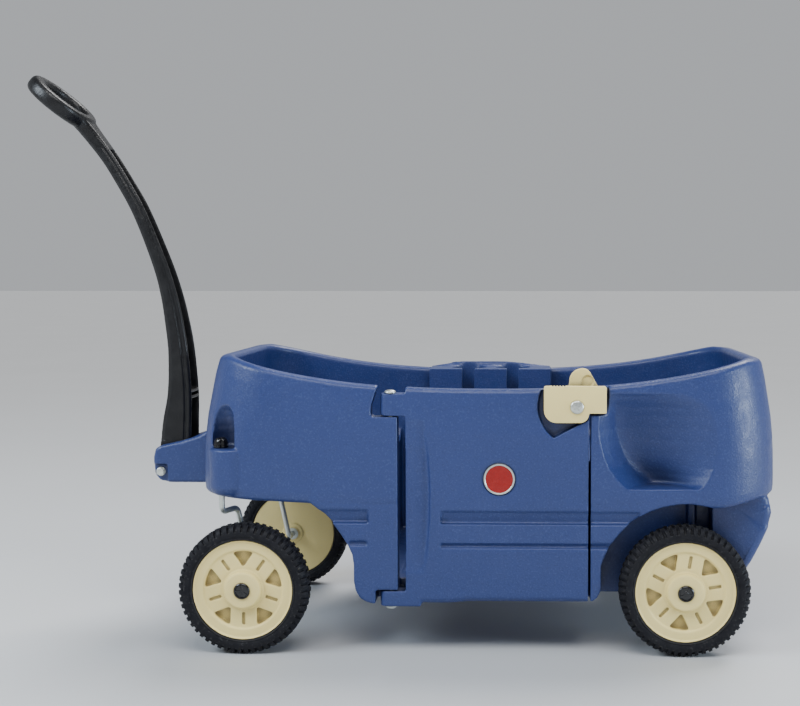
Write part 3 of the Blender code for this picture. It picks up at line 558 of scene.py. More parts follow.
def belly():
    outline = [
        (-0.1, SEAT_Z - 0.01), (-0.12, DECK_Z + 0.007), (-0.106, 0.235), (-0.0921, 0.2242),
        (-0.0785, 0.2082), (-0.0653, 0.1896), (-0.056, 0.1747), (-0.0495, 0.16),
        (BELLY_FRONT_X, 0.1439), (BELLY_FRONT_X, 0.118), (-0.0451, 0.1045), (-0.042, 0.0973),
        (-0.0383, 0.0917), (-0.034, 0.0877), (-0.0292, 0.0848), (-0.022, 0.0822), (-0.014, 0.0812),
        (0.06, 0.08), (0.14, BELLY_Z), (0.322, BELLY_Z), (0.333, 0.0865), (0.341, 0.0925),
        (WELL_FRONT_X - 0.001, 0.102), (WELL_FRONT_X + 0.001, 0.112),
        (BELLY_REAR_X, 0.16), (BELLY_REAR_X, SEAT_Z - 0.01),
    ]
    return prism("belly", outline, "Y", -BELLY_HALF, BELLY_HALF)


def tail():
    outline = [
        (0.3, 0.27), (0.3, TAIL_Z), (0.545, TAIL_Z), (0.573, 0.106), (0.593, 0.138),
        (0.608, 0.167), (0.6205, 0.195), (0.6265, 0.22), (0.6225, 0.243), (0.6, 0.27),
    ]
    return bevelled(prism("tail", outline, "Y", -TAIL_HALF, TAIL_HALF), 0.012, 4, 50)


def wheel_well(side):
    rear_angle = math.degrees(math.acos((WELL_REAR_X - REAR_AXLE_X) / ARCH_R))
    front_angle = math.degrees(math.acos((WELL_FRONT_X - REAR_AXLE_X) / ARCH_R))
    outline = arc((REAR_AXLE_X, WHEEL_R), ARCH_R, rear_angle, front_angle, 40)
    outline += [(WELL_FRONT_X, 0.0), (WELL_REAR_X, 0.0)]
    low, high = sorted((side * WELL_HALF, side * 0.3))
    return prism("well", outline, "Y", low, high)


def well_rib(side):
    """Stiffening rib down the inner wall of a wheel well."""
    low, high = sorted((side * (WELL_HALF - 0.004), side * (WELL_HALF + 0.011)))
    return bevelled(box("rib", (0.492, 0.506), (low, high), (0.14, DECK_Z + 0.006)), 0.004, 2)


def axle_boss(side):
    low, high = sorted((side * (WELL_HALF - 0.01), side * BOSS_HALF))
    return cylinder("boss", (REAR_AXLE_X, WHEEL_R), BOSS_R, "Y", low, high)


def tongue():
    outline = [
        (-0.29, 0.245), (-0.392, 0.245), (-0.409, 0.2485), (-0.4165, 0.257), (-0.419, 0.27),
        (-0.419, 0.29), (-0.4155, 0.304), (-0.407, 0.309), (-0.3705, 0.317), (-0.341, 0.326),
        (-0.32, 0.338), (-0.29, 0.35),
    ]
    return bevelled(prism("tongue", outline, "Y", -TONGUE_HALF, TONGUE_HALF), 0.005, 3, 50)


def within_wall():
    levels = ((flat, DECK_Z + 0.02), (flat, BULGE_Z), (flat, 0.345), (rim_z, -0.012))
    return flat_faced(loft("within_wall", [plan_ring(0.006, *level) for level in levels]))


def niche(side, margin=0.0):
    """Arched recess at a front corner over the ledge where the swivel's cap sits, or its bulge inside."""
    outward = Vector((-0.4, side * 0.9165))
    across = math.degrees(math.atan2(outward.y, outward.x))
    levels = (
        (KINGPIN_LEDGE_Z, 0.026, 0.0), (0.345, 0.026, 0.0), (0.36, 0.0255, 0.003),
        (0.375, 0.0245, 0.008), (0.387, 0.0225, 0.013), (0.396, 0.02, 0.019), (0.403, 0.0155, 0.024),
        (0.407, 0.009, 0.028),
    )
    rings = []
    for i, (z, radius, shift) in enumerate(levels):
        z += {0: -margin, len(levels) - 1: margin}.get(i, 0.0)
        radius += margin
        near = Vector((KINGPIN.x + NICHE_SHIFT, side * KINGPIN.y)) + outward * shift
        far = near + outward * NICHE_REACH
        ring = arc(near, radius, across + 90, across + 270, 20)
        ring += arc(far, radius * 1.2, across - 90, across + 90, 8)
        rings.append([(x, y, z) for x, y in ring])
    return loft("niche", rings)


def kingpin_boss(side):
    centre = (KINGPIN.x + KINGPIN_BOSS_SHIFT, side * (KINGPIN.y - 0.0035))
    foot = deck_z(KINGPIN.x)
    levels = (
        (foot, KINGPIN_BOSS_R - 0.01), (foot + 0.004, KINGPIN_BOSS_R - 0.004),
        (foot + 0.012, KINGPIN_BOSS_R), (KINGPIN_LEDGE_Z - 0.003, KINGPIN_BOSS_R),
        (KINGPIN_LEDGE_Z, KINGPIN_BOSS_R - 0.003),
    )
    return loft("boss", [[(x, y, z) for x, y in circle(centre, radius, 48)] for z, radius in levels])


def scoop(margin=0.0):
    """The open side pocket: a slanted face at its front, then a hollow that runs out softly behind."""
    levels = (
        (0.2675, 0.388, 0.505, 0.06), (0.272, 0.382, 0.512, 0.063), (0.285, 0.369, 0.522, 0.063),
        (0.3, 0.358, 0.53, 0.06), (0.32, 0.35, 0.535, 0.055), (0.34, 0.345, 0.537, 0.049),
        (0.36, 0.342, 0.537, 0.041), (0.38, 0.343, 0.534, 0.03), (0.396, 0.346, 0.528, 0.019),
        (0.408, 0.35, 0.518, 0.009), (0.418, 0.356, 0.505, 0.002),
    )
    outside = -0.27
    rings = []
    for i, (z, left, right, depth) in enumerate(levels):
        z -= margin if i == 0 else 0.0
        left, right, depth = left - margin, right + margin, depth + margin
        face = -side_y((left + right) / 2, z)
        crease = left + 0.3 * (depth + 0.045) + 0.004
        slant = [(left + (crease - left) * k / 5, face + depth * 0.86 * k / 5) for k in range(5)]
        curve = []
        for s in spread(0, 1, 20):
            if s < 0.15:
                share = 0.86 + 0.14 * math.sin(math.pi * min(s / 0.3, 0.5))
            else:
                share = math.cos(math.pi / 2 * (s - 0.15) / 0.85) ** 1.15
            curve.append((crease + (right - crease) * s, face + depth * share))
        ring = [(right, outside - 0.005), *reversed(curve), *reversed(slant), (left, outside - 0.005)]
        rings.append([(x, y, z) for x, y in ring])
    return loft("scoop", rings)


def console():
    outline = [(0.215, 0.43), (0.13, 0.43), (0.13, 0.375), (0.16, 0.335), (0.215, 0.305)]
    return prism("console", outline, "X", 0.0476, 0.2745)


def cup_cuts():
    cuts = []
    for x in CUP_X:
        cuts.append(cylinder("cup", (x, CUP_Y), CUP_R, "Z", CUP_FLOOR_Z, 0.5, 40))
        cuts.append(box("slot", (x - 0.011, x + 0.011), (0.11, CUP_Y), (CUP_FLOOR_Z + 0.014, 0.5)))
    return cuts


def channel(side, x, z_low, z_high, depth):
    """A moulded channel: a small step at its top, a face that leans in, and a ledge along its bottom."""
    outer, upper, lower = (side * (BELLY_HALF + out) for out in (0.003, -0.0024, -depth))
    shape = [(outer, z_high), (upper, z_high - 0.0008), (lower, z_low + 0.0022), (outer, z_low - 0.0012)]
    return prism("channel", shape, "X", *x)


def channel_cuts(side):
    return [
        channel(side, (BAND_X, 0.408), 0.2095, 0.2315, 0.0085),
        channel(side, (BAND_X, 0.372), 0.171, 0.1805, 0.0065),
        channel(side, (-0.106, -0.0235), 0.2105, 0.2335, 0.008),
        channel(side, (-0.0548, -0.0254), 0.1742, 0.1835, 0.0065),
    ]


def parting_line(side):
    """The seam under the shell ahead of the door."""
    y = side * BELLY_HALF
    shape = [(y - side * 0.005, 0.2425), (y + side * 0.002, 0.2445), (y + side * 0.002, 0.2405)]
    return prism("seam", shape, "X", -0.09, 0.03)


def door_opening_cuts():
    top = [
        (0.0145, 0.5), (-0.0187, 0.398), (-0.0187, TOP_KNUCKLE_Z[0] - 0.0012),
        (0.03, TOP_KNUCKLE_Z[0] - 0.0012), (0.03, 0.5),
    ]
    low_z = LOW_KNUCKLE_Z[1] + 0.0015
    return [
        box("opening", DOOR_OPENING_X, (-0.3, DOOR_INNER_Y + 0.0015), (0.0, 0.6)),
        prism("notch", top, "Y", -0.3, -0.19),
        box("notch", (-0.0125, 0.03), (-0.3, -0.19), (0.0, low_z)),
        box("latch_notch", (DOOR_OPENING_X[1] - 0.001, 0.3578), (-0.3, LATCH_NOTCH_Y), (0.3845, 0.5)),
    ]


def seat_cuts():
    """Shallow dished seats and the treads of the footwell floor."""
    cuts = []
    for x in ((-0.215, -0.045), (0.365, 0.54)):
        for y in ((-0.128, -0.012), (0.012, 0.128)):
            cuts.append(bevelled(box("dish", x, y, (SEAT_Z - 0.005, SEAT_Z + 0.02)), 0.012, 2, 60))
    for k in range(9):
        x = 0.022 + 0.033 * k
        cuts.append(box("tread", (x, x + 0.012), (-0.165, 0.165), (FLOOR_Z - 0.004, FLOOR_Z + 0.01)))
    return cuts


def tub_details(points):
    """The raised lip behind the cups, and the tiers that step out round the lower tail."""
    x, y, z = points.T
    lip = smoothstep(0.076, 0.088, x) * smoothstep(0.252, 0.238, x)
    lip *= 0.6 + 0.4 * smoothstep(0.24, 0.18, x)
    points[:, 2] += 0.0085 * lip * smoothstep(0.405, 0.424, z) * smoothstep(0.2085, 0.2135, y)
    tiers = (0.219 + 0.28 * (x - 0.5725), 0.1895 + 0.19 * (x - 0.5681))
    fade = smoothstep(0.535, 0.565, x) * smoothstep(0.105, 0.15, z)
    for edge in tiers:
        step = 0.0032 * fade * smoothstep(edge + 0.003, edge - 0.003, z)
        points[:, 1] += np.sign(y) * step * smoothstep(0.1, 0.17, np.abs(y))
    return points


def make_tub():
    tub = shell()
    join(tub, belly(), tail(), tongue())
    cut(tub, box("well", FOOTWELL, (-FOOTWELL_HALF, FOOTWELL_HALF), (FLOOR_Z, 0.335)))
    bulges = [scoop(0.012), niche(1, NICHE_WALL), niche(-1, NICHE_WALL)]
    for bulge in bulges:
        combine(bulge, "INTERSECT", within_wall())
    join(tub, console(), *bulges)
    for side in (-1, 1):
        cut(tub, wheel_well(side))
        join(tub, axle_boss(side), kingpin_boss(side), well_rib(side))
        cut(tub, niche(side), parting_line(side), *channel_cuts(side))
        ear_y = sorted((side * (EAR_Y - EAR_INSET), side * 0.08))
        cut(
            tub,
            cylinder("king_hole", (KINGPIN.x, side * KINGPIN.y), ROD_HOLE_R, "Z", 0.2, 0.35),
            box("ear", (-0.43, -0.394), ear_y, (0.235, 0.277)),
        )
    cut(tub, scoop(), *cup_cuts(), *door_opening_cuts(), *seat_cuts())
    cut(
        tub,
        box("slot", (-0.46, TONGUE_SLOT_X), (-TONGUE_SLOT_HALF, TONGUE_SLOT_HALF), (0.2, 0.4)),
        cylinder("axle_hole", (REAR_AXLE_X, WHEEL_R), ROD_HOLE_R, "Y", -0.3, 0.3),
    )
    skinned(tub, *TUB_SKIN)
    set_points(tub, tub_details(points_of(tub)))
    finished(tub, "tub_moulding", "tub", "tub", BLUE)


# -------------------- door
def door_slab():
    heights = (0.1, 0.16, 0.22, 0.26, 0.3, 0.33, 0.355, 0.38, 0.4)
    rings = []
    for x in spread(*DOOR_X, 24):
        top = rim_z(x)
        bottom = BELLY_Z - DOOR_FOOT_DROP * float(smoothstep(DOOR_FOOT_X + 0.02, DOOR_FOOT_X - 0.02, x))
        ring = [(DOOR_INNER_Y, bottom), (-BELLY_HALF + DOOR_ROUND, bottom)]
        ring.append((-BELLY_HALF, bottom + DOOR_ROUND))
        ring += [(-min(side_y(x, z), BELLY_HALF), z) for z in (*heights, top - DOOR_ROUND)]
        ring += [
            (-side_y(x, top) + DOOR_ROUND * 0.7, top), (DOOR_INNER_Y - DOOR_ROUND, top),
            (DOOR_INNER_Y, top - DOOR_ROUND),
        ]
        rings.append([(x, y, z) for y, z in ring])
    return loft("door", rings)


def knuckle(z_range, x_end):
    """Arm that reaches round the hinge pin, flush with the leaning face of the door."""
    rings = []
    for z in spread(*z_range, 8):
        y = (-min(side_y(x_end, z), BELLY_HALF), -0.206)
        middle, radius = sum(y) / 2, (y[1] - y[0]) / 2
        outline = arc((HINGE.x - 0.0036, middle), radius, 270, 90, 16) + [(x_end, y[1]), (x_end, y[0])]
        rings.append([(x, y, z) for x, y in outline])
    return loft("knuckle", rings)


def hollow_edge():
    """The valley down the door's hinge edge. Its rear side bows and runs out at both ends."""
    rings = []
    for s in spread(0, 1, 24):
        z = 0.132 + (0.374 - 0.132) * s
        swell = math.sin(math.pi * s) ** 0.5 if 0 < s < 1 else 0.0
        crease = 0.0655 + 0.0085 * math.sin(math.pi * s)
        depth = 0.001 + 0.006 * swell
        face = -BELLY_HALF if z < 0.33 else -side_y(0.06, z)
        rings.append([
            (0.03, face - 0.006, z), (0.03, face + depth * 0.75, z), (0.05, face + depth * 0.45, z),
            (crease - 0.004, face + depth, z), (crease, face + depth * 0.8, z),
            (crease + 0.004, face - 0.006, z),
        ])
    return loft("edge", rings)


def latch_pocket():
    """The hollow that the latch plate turns into."""
    outline = arc((0, 0), LATCH_POCKET_R, 150, 233.5, 24)
    outline += [(0.03, -0.0136), (0.03, 0.06), (-0.0533, 0.06)]
    return prism("pocket", about(LATCH, outline), "Y", THROUGH_DOOR[0], LATCH_POCKET_Y)


def door_back_cuts():
    """Two shallow panels pressed into the door's inner face."""
    cuts = []
    for z in ((0.135, 0.245), (0.262, 0.345)):
        panel = box("panel", (0.062, 0.3), (DOOR_INNER_Y - 0.004, DOOR_INNER_Y + 0.03), z)
        cuts.append(bevelled(panel, 0.014, 3, 60))
    return cuts


def make_door():
    door = door_slab()
    middle_band = box("band", (BAND_X, 0.4), (THROUGH_DOOR[0], -BELLY_HALF + 0.0012), (0.172, 0.209))
    cut(door, hollow_edge(), middle_band, *channel_cuts(-1), *door_back_cuts())
    join(door, knuckle(TOP_KNUCKLE_Z, 0.044), knuckle(LOW_KNUCKLE_Z, 0.06))
    cut(
        door,
        latch_pocket(),
        cylinder("bolt_hole", LATCH, 0.005, "Y", *THROUGH_DOOR),
        cylinder("seat", REFLECTOR, REFLECTOR_R + 0.0016, "Y", THROUGH_DOOR[0], REFLECTOR_SEAT_Y, 64),
    )
    skinned(door, *DOOR_SKIN)
    finished(door, "door_moulding", "door", "door", BLUE)


# radius and rise of the domed head, as shares of their most
HINGE_HEAD = ((0.94, 0.0), (1.0, 0.12), (1.0, 0.3), (0.93, 0.56), (0.76, 0.8), (0.5, 0.94), (0.04, 1.0))


def make_hinge_pins():
    top, low = TOP_KNUCKLE_Z[1] + GAP, LOW_KNUCKLE_Z[0] - GAP
    for name, node, start, sign, other in (
        ("upper_hinge_pin", "hinge_pin_top", top, 1, 0.348),
        ("lower_hinge_pin", "hinge_pin_bottom", low, -1, 0.134),
    ):
        profile = [(HINGE_PIN_R, other), (HINGE_PIN_R, start)]
        for share, rise in HINGE_HEAD:
            profile.append((HINGE_HEAD_R * share, start + sign * HINGE_HEAD_RISE * rise))
        rings = [[(x, y, z) for x, y in circle(HINGE, r, 32)] for r, z in profile]
        finished(loft(name, rings), name, "tub", node, STEEL, 40)


def make_reflector():
    """A plain round red lens in a bright ring."""
    front, back = HALF_WIDTH - GAP, -REFLECTOR_SEAT_Y + GAP
    inner = REFLECTOR_R - 0.0032
    ring = [
        (REFLECTOR_R, back), (REFLECTOR_R, front - 0.0012), (REFLECTOR_R - 0.0008, front),
        (inner + 0.0008, front), (inner, front - 0.0008),
    ]
    dome = [(inner * k / 8, front - 0.0008 - 0.0006 * (1 - k / 8) ** 0.5) for k in range(7, 0, -1)]
    profile = [*ring, *dome, (0.0004, front - 0.0014), (0.0004, back)]
    disc = turned("reflector", profile, 96, REFLECTOR)
    finished(disc, "round_reflector", "door", "door_reflector", RED, 40)
    disc.data.materials.append(STEEL)
    for face in disc.data.polygons:
        radius = math.hypot(face.center.x - REFLECTOR[0], face.center.z - REFLECTOR[1])
        face.material_index = 1 if radius > inner else 0


# -------------------- latch
def make_latch():
    notches = []
    for k in range(5):
        notches += arc((-0.038 + 0.0047 * k, 0.033), 0.0014, 180, 360, 4)
    outline = arc((-0.049, 0.0295), 0.003, 180, 90, 3) + notches
    outline += arc((0.0435, 0.0295), 0.003, 90, 0, 3) + arc((0.0445, -0.008), 0.002, 0, -90, 3)
    outline += [(0.02, -0.01)] + arc((0.0045, -0.0105), 0.0145, -5, -90, 8)
    outline += arc((-0.032, -0.005), 0.02, -90, -180, 10)
    plate = bevelled(prism("plate", about(LATCH, outline), "Y", *LATCH_Y), 0.0016, 3, 30)
    finished(plate, "latch_cover", "latch", "latch_plate", CREAM, 40)

    outline = arc((0, 0), 0.017, 200, 340, 16) + [(0.0365, 0.027)]
    outline += arc((0.0105, 0.044), 0.0145, 35, 95, 8) + arc((0.0095, 0.0375), 0.0205, 105, 180, 10)
    tab = prism("tab", about(LATCH, outline), "Y", *LATCH_TAB_Y)
    hollow = arc((0.0185, 0.0375), 0.0098, -20, 160, 14) + arc((0.015, 0.029), 0.0075, 180, 330, 8)
    for y in ((-0.21, LATCH_TAB_Y[0] + 0.0026), (LATCH_TAB_Y[1] - 0.0026, -0.17)):
        cut(tab, prism("hollow", about(LATCH, hollow), "Y", *y))
    skinned(tab, *TAB_SKIN)
    finished(tab, "latch_thumb_tab", "latch", "latch_tab", CREAM)

    head, inner_end = LATCH_Y[0] - GAP, 0.1836
    profile = [
        (0.004, inner_end), (0.004, -head), (BOLT_HEAD_R - 0.0003, -head), (BOLT_HEAD_R, -head + 0.0006),
    ]
    for t in spread(0, math.pi / 2, 8)[1:-1]:
        profile.append((BOLT_HEAD_R * math.cos(t), -head + 0.001 + 0.0032 * math.sin(t)))
    profile += [(0.0003, -head + 0.0042), (0.0003, inner_end)]
    bolt = turned("bolt", profile, 48, LATCH)
    for turn in (30, 120):
        slot = about(LATCH, rotated(bar(-0.0058, 0.0058, 0.0009), turn))
        cut(bolt, prism("slot", slot, "Y", head - 0.006, head - 0.0022))
    finished(bolt, "latch_through_bolt", "latch", "latch_bolt", STEEL, 35)

    nut = cylinder("nut", LATCH, 0.0078, "Y", LATCH_TAB_Y[1] + GAP, -0.1835, 6)
    cut(nut, cylinder("hole", LATCH, 0.0043, "Y", *THROUGH_DOOR, 24))
    finished(bevelled(nut, 0.0006, 2), "latch_hex_nut", "latch", "latch_nut", STEEL, 35)


# -------------------- handle
STEM = (
    (0.3, -0.388, 0.054), (0.345, -0.3848, 0.051), (0.396, -0.38, 0.043),
    (0.449, -0.3807, 0.0375), (0.486, -0.3833, 0.035), (0.523, -0.3887, 0.033),
    (0.56, -0.3952, 0.03), (0.607, -0.4072, 0.0265), (0.664, -0.4275, 0.024),
    (0.723, -0.4522, 0.023), (0.77, -0.4783, 0.0225), (0.805, -0.4995, 0.0225),
    (0.835, -0.521, 0.0235), (0.872, -0.549, 0.024),
)


def stem_line(share):
    """Middle of the stem, its depth fore and aft, and its half width, on a smooth curve through STEM."""
    place = share * (len(STEM) - 1)
    i = min(int(place), len(STEM) - 2)
    f = place - i
    row = [STEM[min(max(k, 0), len(STEM) - 1)] for k in (i - 1, i, i + 1, i + 2)]
    z, x, depth = (
        0.5 * (2 * b + (c - a) * f + (2 * a - 5 * b + 4 * c - d) * f ** 2
               + (3 * b - a - 3 * c + d) * f ** 3)
        for a, b, c, d in zip(*row)
    )
    half = HANDLE_BASE_HALF + (HANDLE_TOP_HALF - HANDLE_BASE_HALF) * min(share * 1.25, 1.0)
    return Vector((x, 0.0, z)), depth, half


def stem_sections(steps, start, end, outline):
    rings = []
    for share in spread(start, end, steps):
        middle, depth, half = stem_line(share)
        ahead = stem_line(min(share + 0.02, 1.0))[0] - stem_line(max(share - 0.02, 0.0))[0]
        ahead.normalize()
        rearward = Vector((ahead.z, 0.0, -ahead.x))
        rings.append([middle + rearward * a + Vector((0, b, 0)) for a, b in outline(depth, half)])
    return rings


def stem_outline(depth, half):
    """A bevelled front, a flat side with a groove behind it, and a rounded rear flange."""
    slope = min(0.008, depth * 0.25)
    d, groove = depth / 2, 0.0026
    flange = min(0.0105, depth * 0.3)
    right = [
        (d, -half + 0.0042), (d - 0.0012, -half + 0.002), (d - 0.0034, -half + 0.0004),
        (d - flange + 0.0026, -half), (d - flange + 0.0014, -half + groove),
        (d - flange - 0.001, -half + groove), (d - flange - 0.0022, -half),
        (-d + slope, -half), (-d, -half + slope * 0.8),
    ]
    return right + [(a, -b) for a, b in reversed(right)]


def channel_outline(depth, half):
    d, wall = depth / 2, 0.0065
    return [(d + 0.01, wall - half), (d + 0.01, half - wall), (-d + 2 * wall, half - 1.4 * wall),
            (-d + 2 * wall, 1.4 * wall - half)]


def grip_loop():
    tilt = math.radians(LOOP_TILT_DEG)
    along = Vector((math.cos(tilt), 0.0, math.sin(tilt)))
    up = Vector((along.z, 0.0, -along.x))
    rings = []
    for t in full_turn(72):
        centre = LOOP_CENTRE + along * (LOOP_LENGTH - LOOP_BAR) / 2 * math.cos(t)
        centre += Vector((0, (LOOP_WIDTH - LOOP_BAR) / 2 * math.sin(t), 0))
        outward = (centre - LOOP_CENTRE).normalized()
        ring = []
        for s in full_turn(24):
            a, b = (math.copysign(abs(v) ** 0.7, v) for v in (math.cos(s), math.sin(s)))
            ring.append(centre + outward * LOOP_BAR / 2 * a + up * LOOP_BAR * 0.54 * b)
        rings.append(ring)
    return loft("loop", rings, closed=False)


def neck():
    """Where the stem widens into the loop."""
    rings = []
    for share, half in ((0.9, 0.0195), (0.94, 0.022), (0.97, 0.0275), (1.0, 0.037)):
        middle, depth, _ = stem_line(share)
        ahead = (stem_line(1.0)[0] - stem_line(0.9)[0]).normalized()
        rearward = Vector((ahead.z, 0.0, -ahead.x))
        d = depth / 2
        outline = [(d, -half * 0.8), (d * 0.6, -half), (-d * 0.6, -half), (-d, -half * 0.8)]
        outline += [(a, -b) for a, b in reversed(outline)]
        rings.append([middle + rearward * a + Vector((0, b, 0)) for a, b in outline])
    return loft("neck", rings)


def make_handle():
    handle = loft("handle", stem_sections(59, 0.0, 1.0, stem_outline))
    foot = arc(PIVOT, HANDLE_BOSS_R, 180, 300, 16)
    foot += [(-0.365, 0.302), (-0.364, 0.315), (-0.412, 0.315), (-0.4145, 0.298)]
    join(handle, prism("foot", foot, "Y", -HANDLE_BASE_HALF, HANDLE_BASE_HALF))
    rib = 2 / 13
    cut(
        handle,
        loft("channel", stem_sections(7, 0.03, rib - 0.009, channel_outline)),
        loft("channel", stem_sections(3, rib - 0.003, rib + 0.005, channel_outline)),
        loft("channel", stem_sections(49, rib + 0.011, 0.88, channel_outline)),
    )
    join(handle, neck(), grip_loop())
    skinned(handle, *HANDLE_SKIN)
    finished(handle, "pull_handle", "handle", "handle", BLACK)


def make_handle_bolt():
    head_y = EAR_Y + GAP
    bolt = cylinder("bolt", PIVOT, 0.0039, "Y", -head_y - 0.002, head_y + 0.0065)
    head = cylinder("head", PIVOT, 0.0075, "Y", -head_y - 0.0053, -head_y, 6, 30)
    washer = cylinder("washer", PIVOT, 0.0078, "Y", -head_y, EAR_INSET + GAP - head_y, 32)
    join(bolt, bevelled(head, 0.001, 3), washer)
    nut = bevelled(cylinder("nut", PIVOT, 0.0075, "Y", head_y, head_y + 0.0062, 6, 30), 0.0007, 2)
    cut(nut, cylinder("hole", PIVOT, 0.0042, "Y", 0.0, 0.08))
    finished(bolt, "pivot_bolt", "tub", "handle_bolt", STEEL, 35)
    finished(nut, "pivot_nut", "tub", "handle_nut", STEEL, 35)


# -------------------- wheels
LUGS = 56
LUG_DEPTH = 0.0034
LUG_SAMPLES = 12        # across one lug and its gap
RIM_PROFILE = [
    (BORE_R, 0.0262), (0.0262, 0.0262), (0.0282, 0.0256), (0.0294, 0.024), (0.0302, 0.02),
    (0.031, 0.016), (0.033, 0.0148), (0.06, 0.0148), (0.0625, 0.015), (0.064, 0.017),
    (0.0655, 0.0176), (0.077, 0.018), (0.0782, 0.0196), (0.0792, 0.0212), (RIM_R, 0.0205),
    (RIM_R, -0.0205), (0.0785, -0.0212), (0.02, -0.0212),
    (0.0185, -0.024), (0.013, -0.025), (0.0125, -0.0275), (BORE_R, -0.0275),
]
CAP_PROFILE = [
    (0.0003, 0.0268), (0.013, 0.0268), (0.013, 0.0278), (0.0124, 0.0288), (0.0112, 0.0294),
    (0.01, 0.029), (0.0092, 0.0278), (0.004, 0.0278), (0.003, 0.0286), (0.0003, 0.0288),
]


def tyre_mesh():
    """Sidewall and crown turned round the wheel, with two rows of lugs that wrap over the shoulders."""
    profile = [(RIM_R + GAP, 0.0), (RIM_R + GAP, 0.0205), (0.0812, 0.0228), (0.083, 0.0236),
               (0.0842, 0.023), (0.0852, 0.0238), (0.089, 0.0243), (0.0925, 0.0245)]
    profile += arc((0.0925, 0.013), 0.0115, 90, 0, 10)[1:]
    profile += [(WHEEL_R, out) for out in (0.011, 0.006, 0.0025, 0.0012, 0.0)]
    profile += [(r, -out) for r, out in profile[-2:0:-1]]
    radius, out = np.array(profile).T
    shoulder = smoothstep(0.0945, 0.096, radius)
    crown = np.abs(out) < 0.0105
    rings = []
    for i, t in enumerate(full_turn(LUGS * LUG_SAMPLES)):
        step = i % LUG_SAMPLES
        half_step = (i + LUG_SAMPLES // 2) % LUG_SAMPLES
        outer_gap = 1.0 if step < 5 else 0.0
        inner_gap = 1.0 if half_step < 4 else 0.0
        gap = np.where(crown, inner_gap, outer_gap)
        gap = np.where(np.abs(out) < 0.0018, 1.0, gap)
        gap = np.where((np.abs(out) > 0.0095) & (np.abs(out) < 0.0115), np.maximum(gap, 0.65), gap)
        sunk = LUG_DEPTH * gap * shoulder
        ratio = (radius - sunk) / radius
        drawn = np.where(radius < 0.1035, out * (1 - 0.06 * gap * shoulder), out)
        rings.append([
            (r * k * math.cos(t), -o, r * k * math.sin(t)) for r, k, o in zip(radius, ratio, drawn)
        ])
    return loft("tyre", rings, closed=False)


def rim_mesh():
    """Moulded rim, seen from outside: five three-cornered pockets alternate with five slots."""
    rim = turned("rim", RIM_PROFILE, 128)
    pocket = [
        (0.0372, 0.0), (0.038, 0.002), (0.056, 0.0142), (0.0582, 0.015), (0.06, 0.0138),
        (0.0612, 0.009), (0.0618, 0.0),
    ]
    pocket += [(a, -b) for a, b in pocket[-2:0:-1]]
    for i in range(5):
        cut(
            rim,
            prism("pocket", rotated(pocket, 72 * i), "Y", -0.03, -0.0052),
            prism("slot", rotated(bar(0.0375, 0.0575, 0.0024), 72 * i + 36), "Y", -0.03, -0.011),
        )
    return skinned(rim, *RIM_SKIN)


def cap_mesh():
    """Push-on hub cap with five pressed ribs inside its rim."""
    cap = turned("cap", CAP_PROFILE, 48)
    for k in range(5):
        rib = rotated(bar(0.0012, 0.0104, 0.0009), 18 + 72 * k)
        join(cap, prism("rib", rib, "Y", -0.0291, -0.027))
    return cap


def washer_mesh():
    back = -(0.0275 + GAP)
    profile = [(ON_ROD_R, back), (0.0108, back), (0.011, back - 0.0002), (0.011, back - 0.0013),
               (0.0108, back - 0.0015), (ON_ROD_R, back - 0.0015)]
    return turned("washer", profile, 48)


def placed(source, x, side, turn_deg):
    """A copy of a wheel piece made for the right-hand side, turned about its axle and put in place."""
    obj = linked(source.name, source.data.copy())
    turn = math.radians(turn_deg)
    points = points_of(obj)
    a, y, b = points.T
    ahead = a * math.cos(turn) - b * math.sin(turn)
    up = a * math.sin(turn) + b * math.cos(turn)
    if side > 0:
        ahead, y = -ahead, -y
    set_points(obj, np.stack([ahead + x, y + side * WHEEL_Y, up + WHEEL_R], axis=1))
    return obj


def make_wheels():
    kinds = {
        "tyre": (tyre_mesh(), RUBBER, 40), "rim": (rim_mesh(), CREAM, 180),
        "hub_cap": (cap_mesh(), GLOSS, 35), "washer": (washer_mesh(), STEEL, 35),
    }
    ends = ("front", FRONT_HUB_X, FRONT_POCKET_DEG), ("rear", REAR_AXLE_X, REAR_POCKET_DEG)
    for end, x, pocket_deg in ends:
        for word, side in (("right", -1), ("left", 1)):
            carrier = f"front_swivel_{word}" if end == "front" else "tub"
            for kind, (source, finish, sharp) in kinds.items():
                body = f"{end}_{word}_wheel" if kind in ("tyre", "rim") else carrier
                node = f"{end}_{word}_{kind}"
                piece = placed(source, x, side, pocket_deg)
                finished(piece, f"{node}_fine", body, node, finish, sharp)
    for source, _, _ in kinds.values():
        bpy.data.objects.remove(source)


def make_spindle(word, side):
    king_y, inner_y = side * KINGPIN.y, side * SPINDLE_INNER_Y
    corners = [
        (KINGPIN.x, king_y, 0.339), (KINGPIN.x, king_y, SPINDLE_BEND_Z),
        (KINGPIN.x + 0.016, inner_y, SPINDLE_BEND_Z), (FRONT_HUB_X, inner_y, WHEEL_R),
        (FRONT_HUB_X, side * (WHEEL_Y + STUB), WHEEL_R),
    ]
    rod = tube("rod", rounded_path(corners, 0.011, 8), ROD_R)
    finished(rod, f"bent_rod_{word}", f"front_swivel_{word}", f"front_spindle_{word}", STEEL, 50)


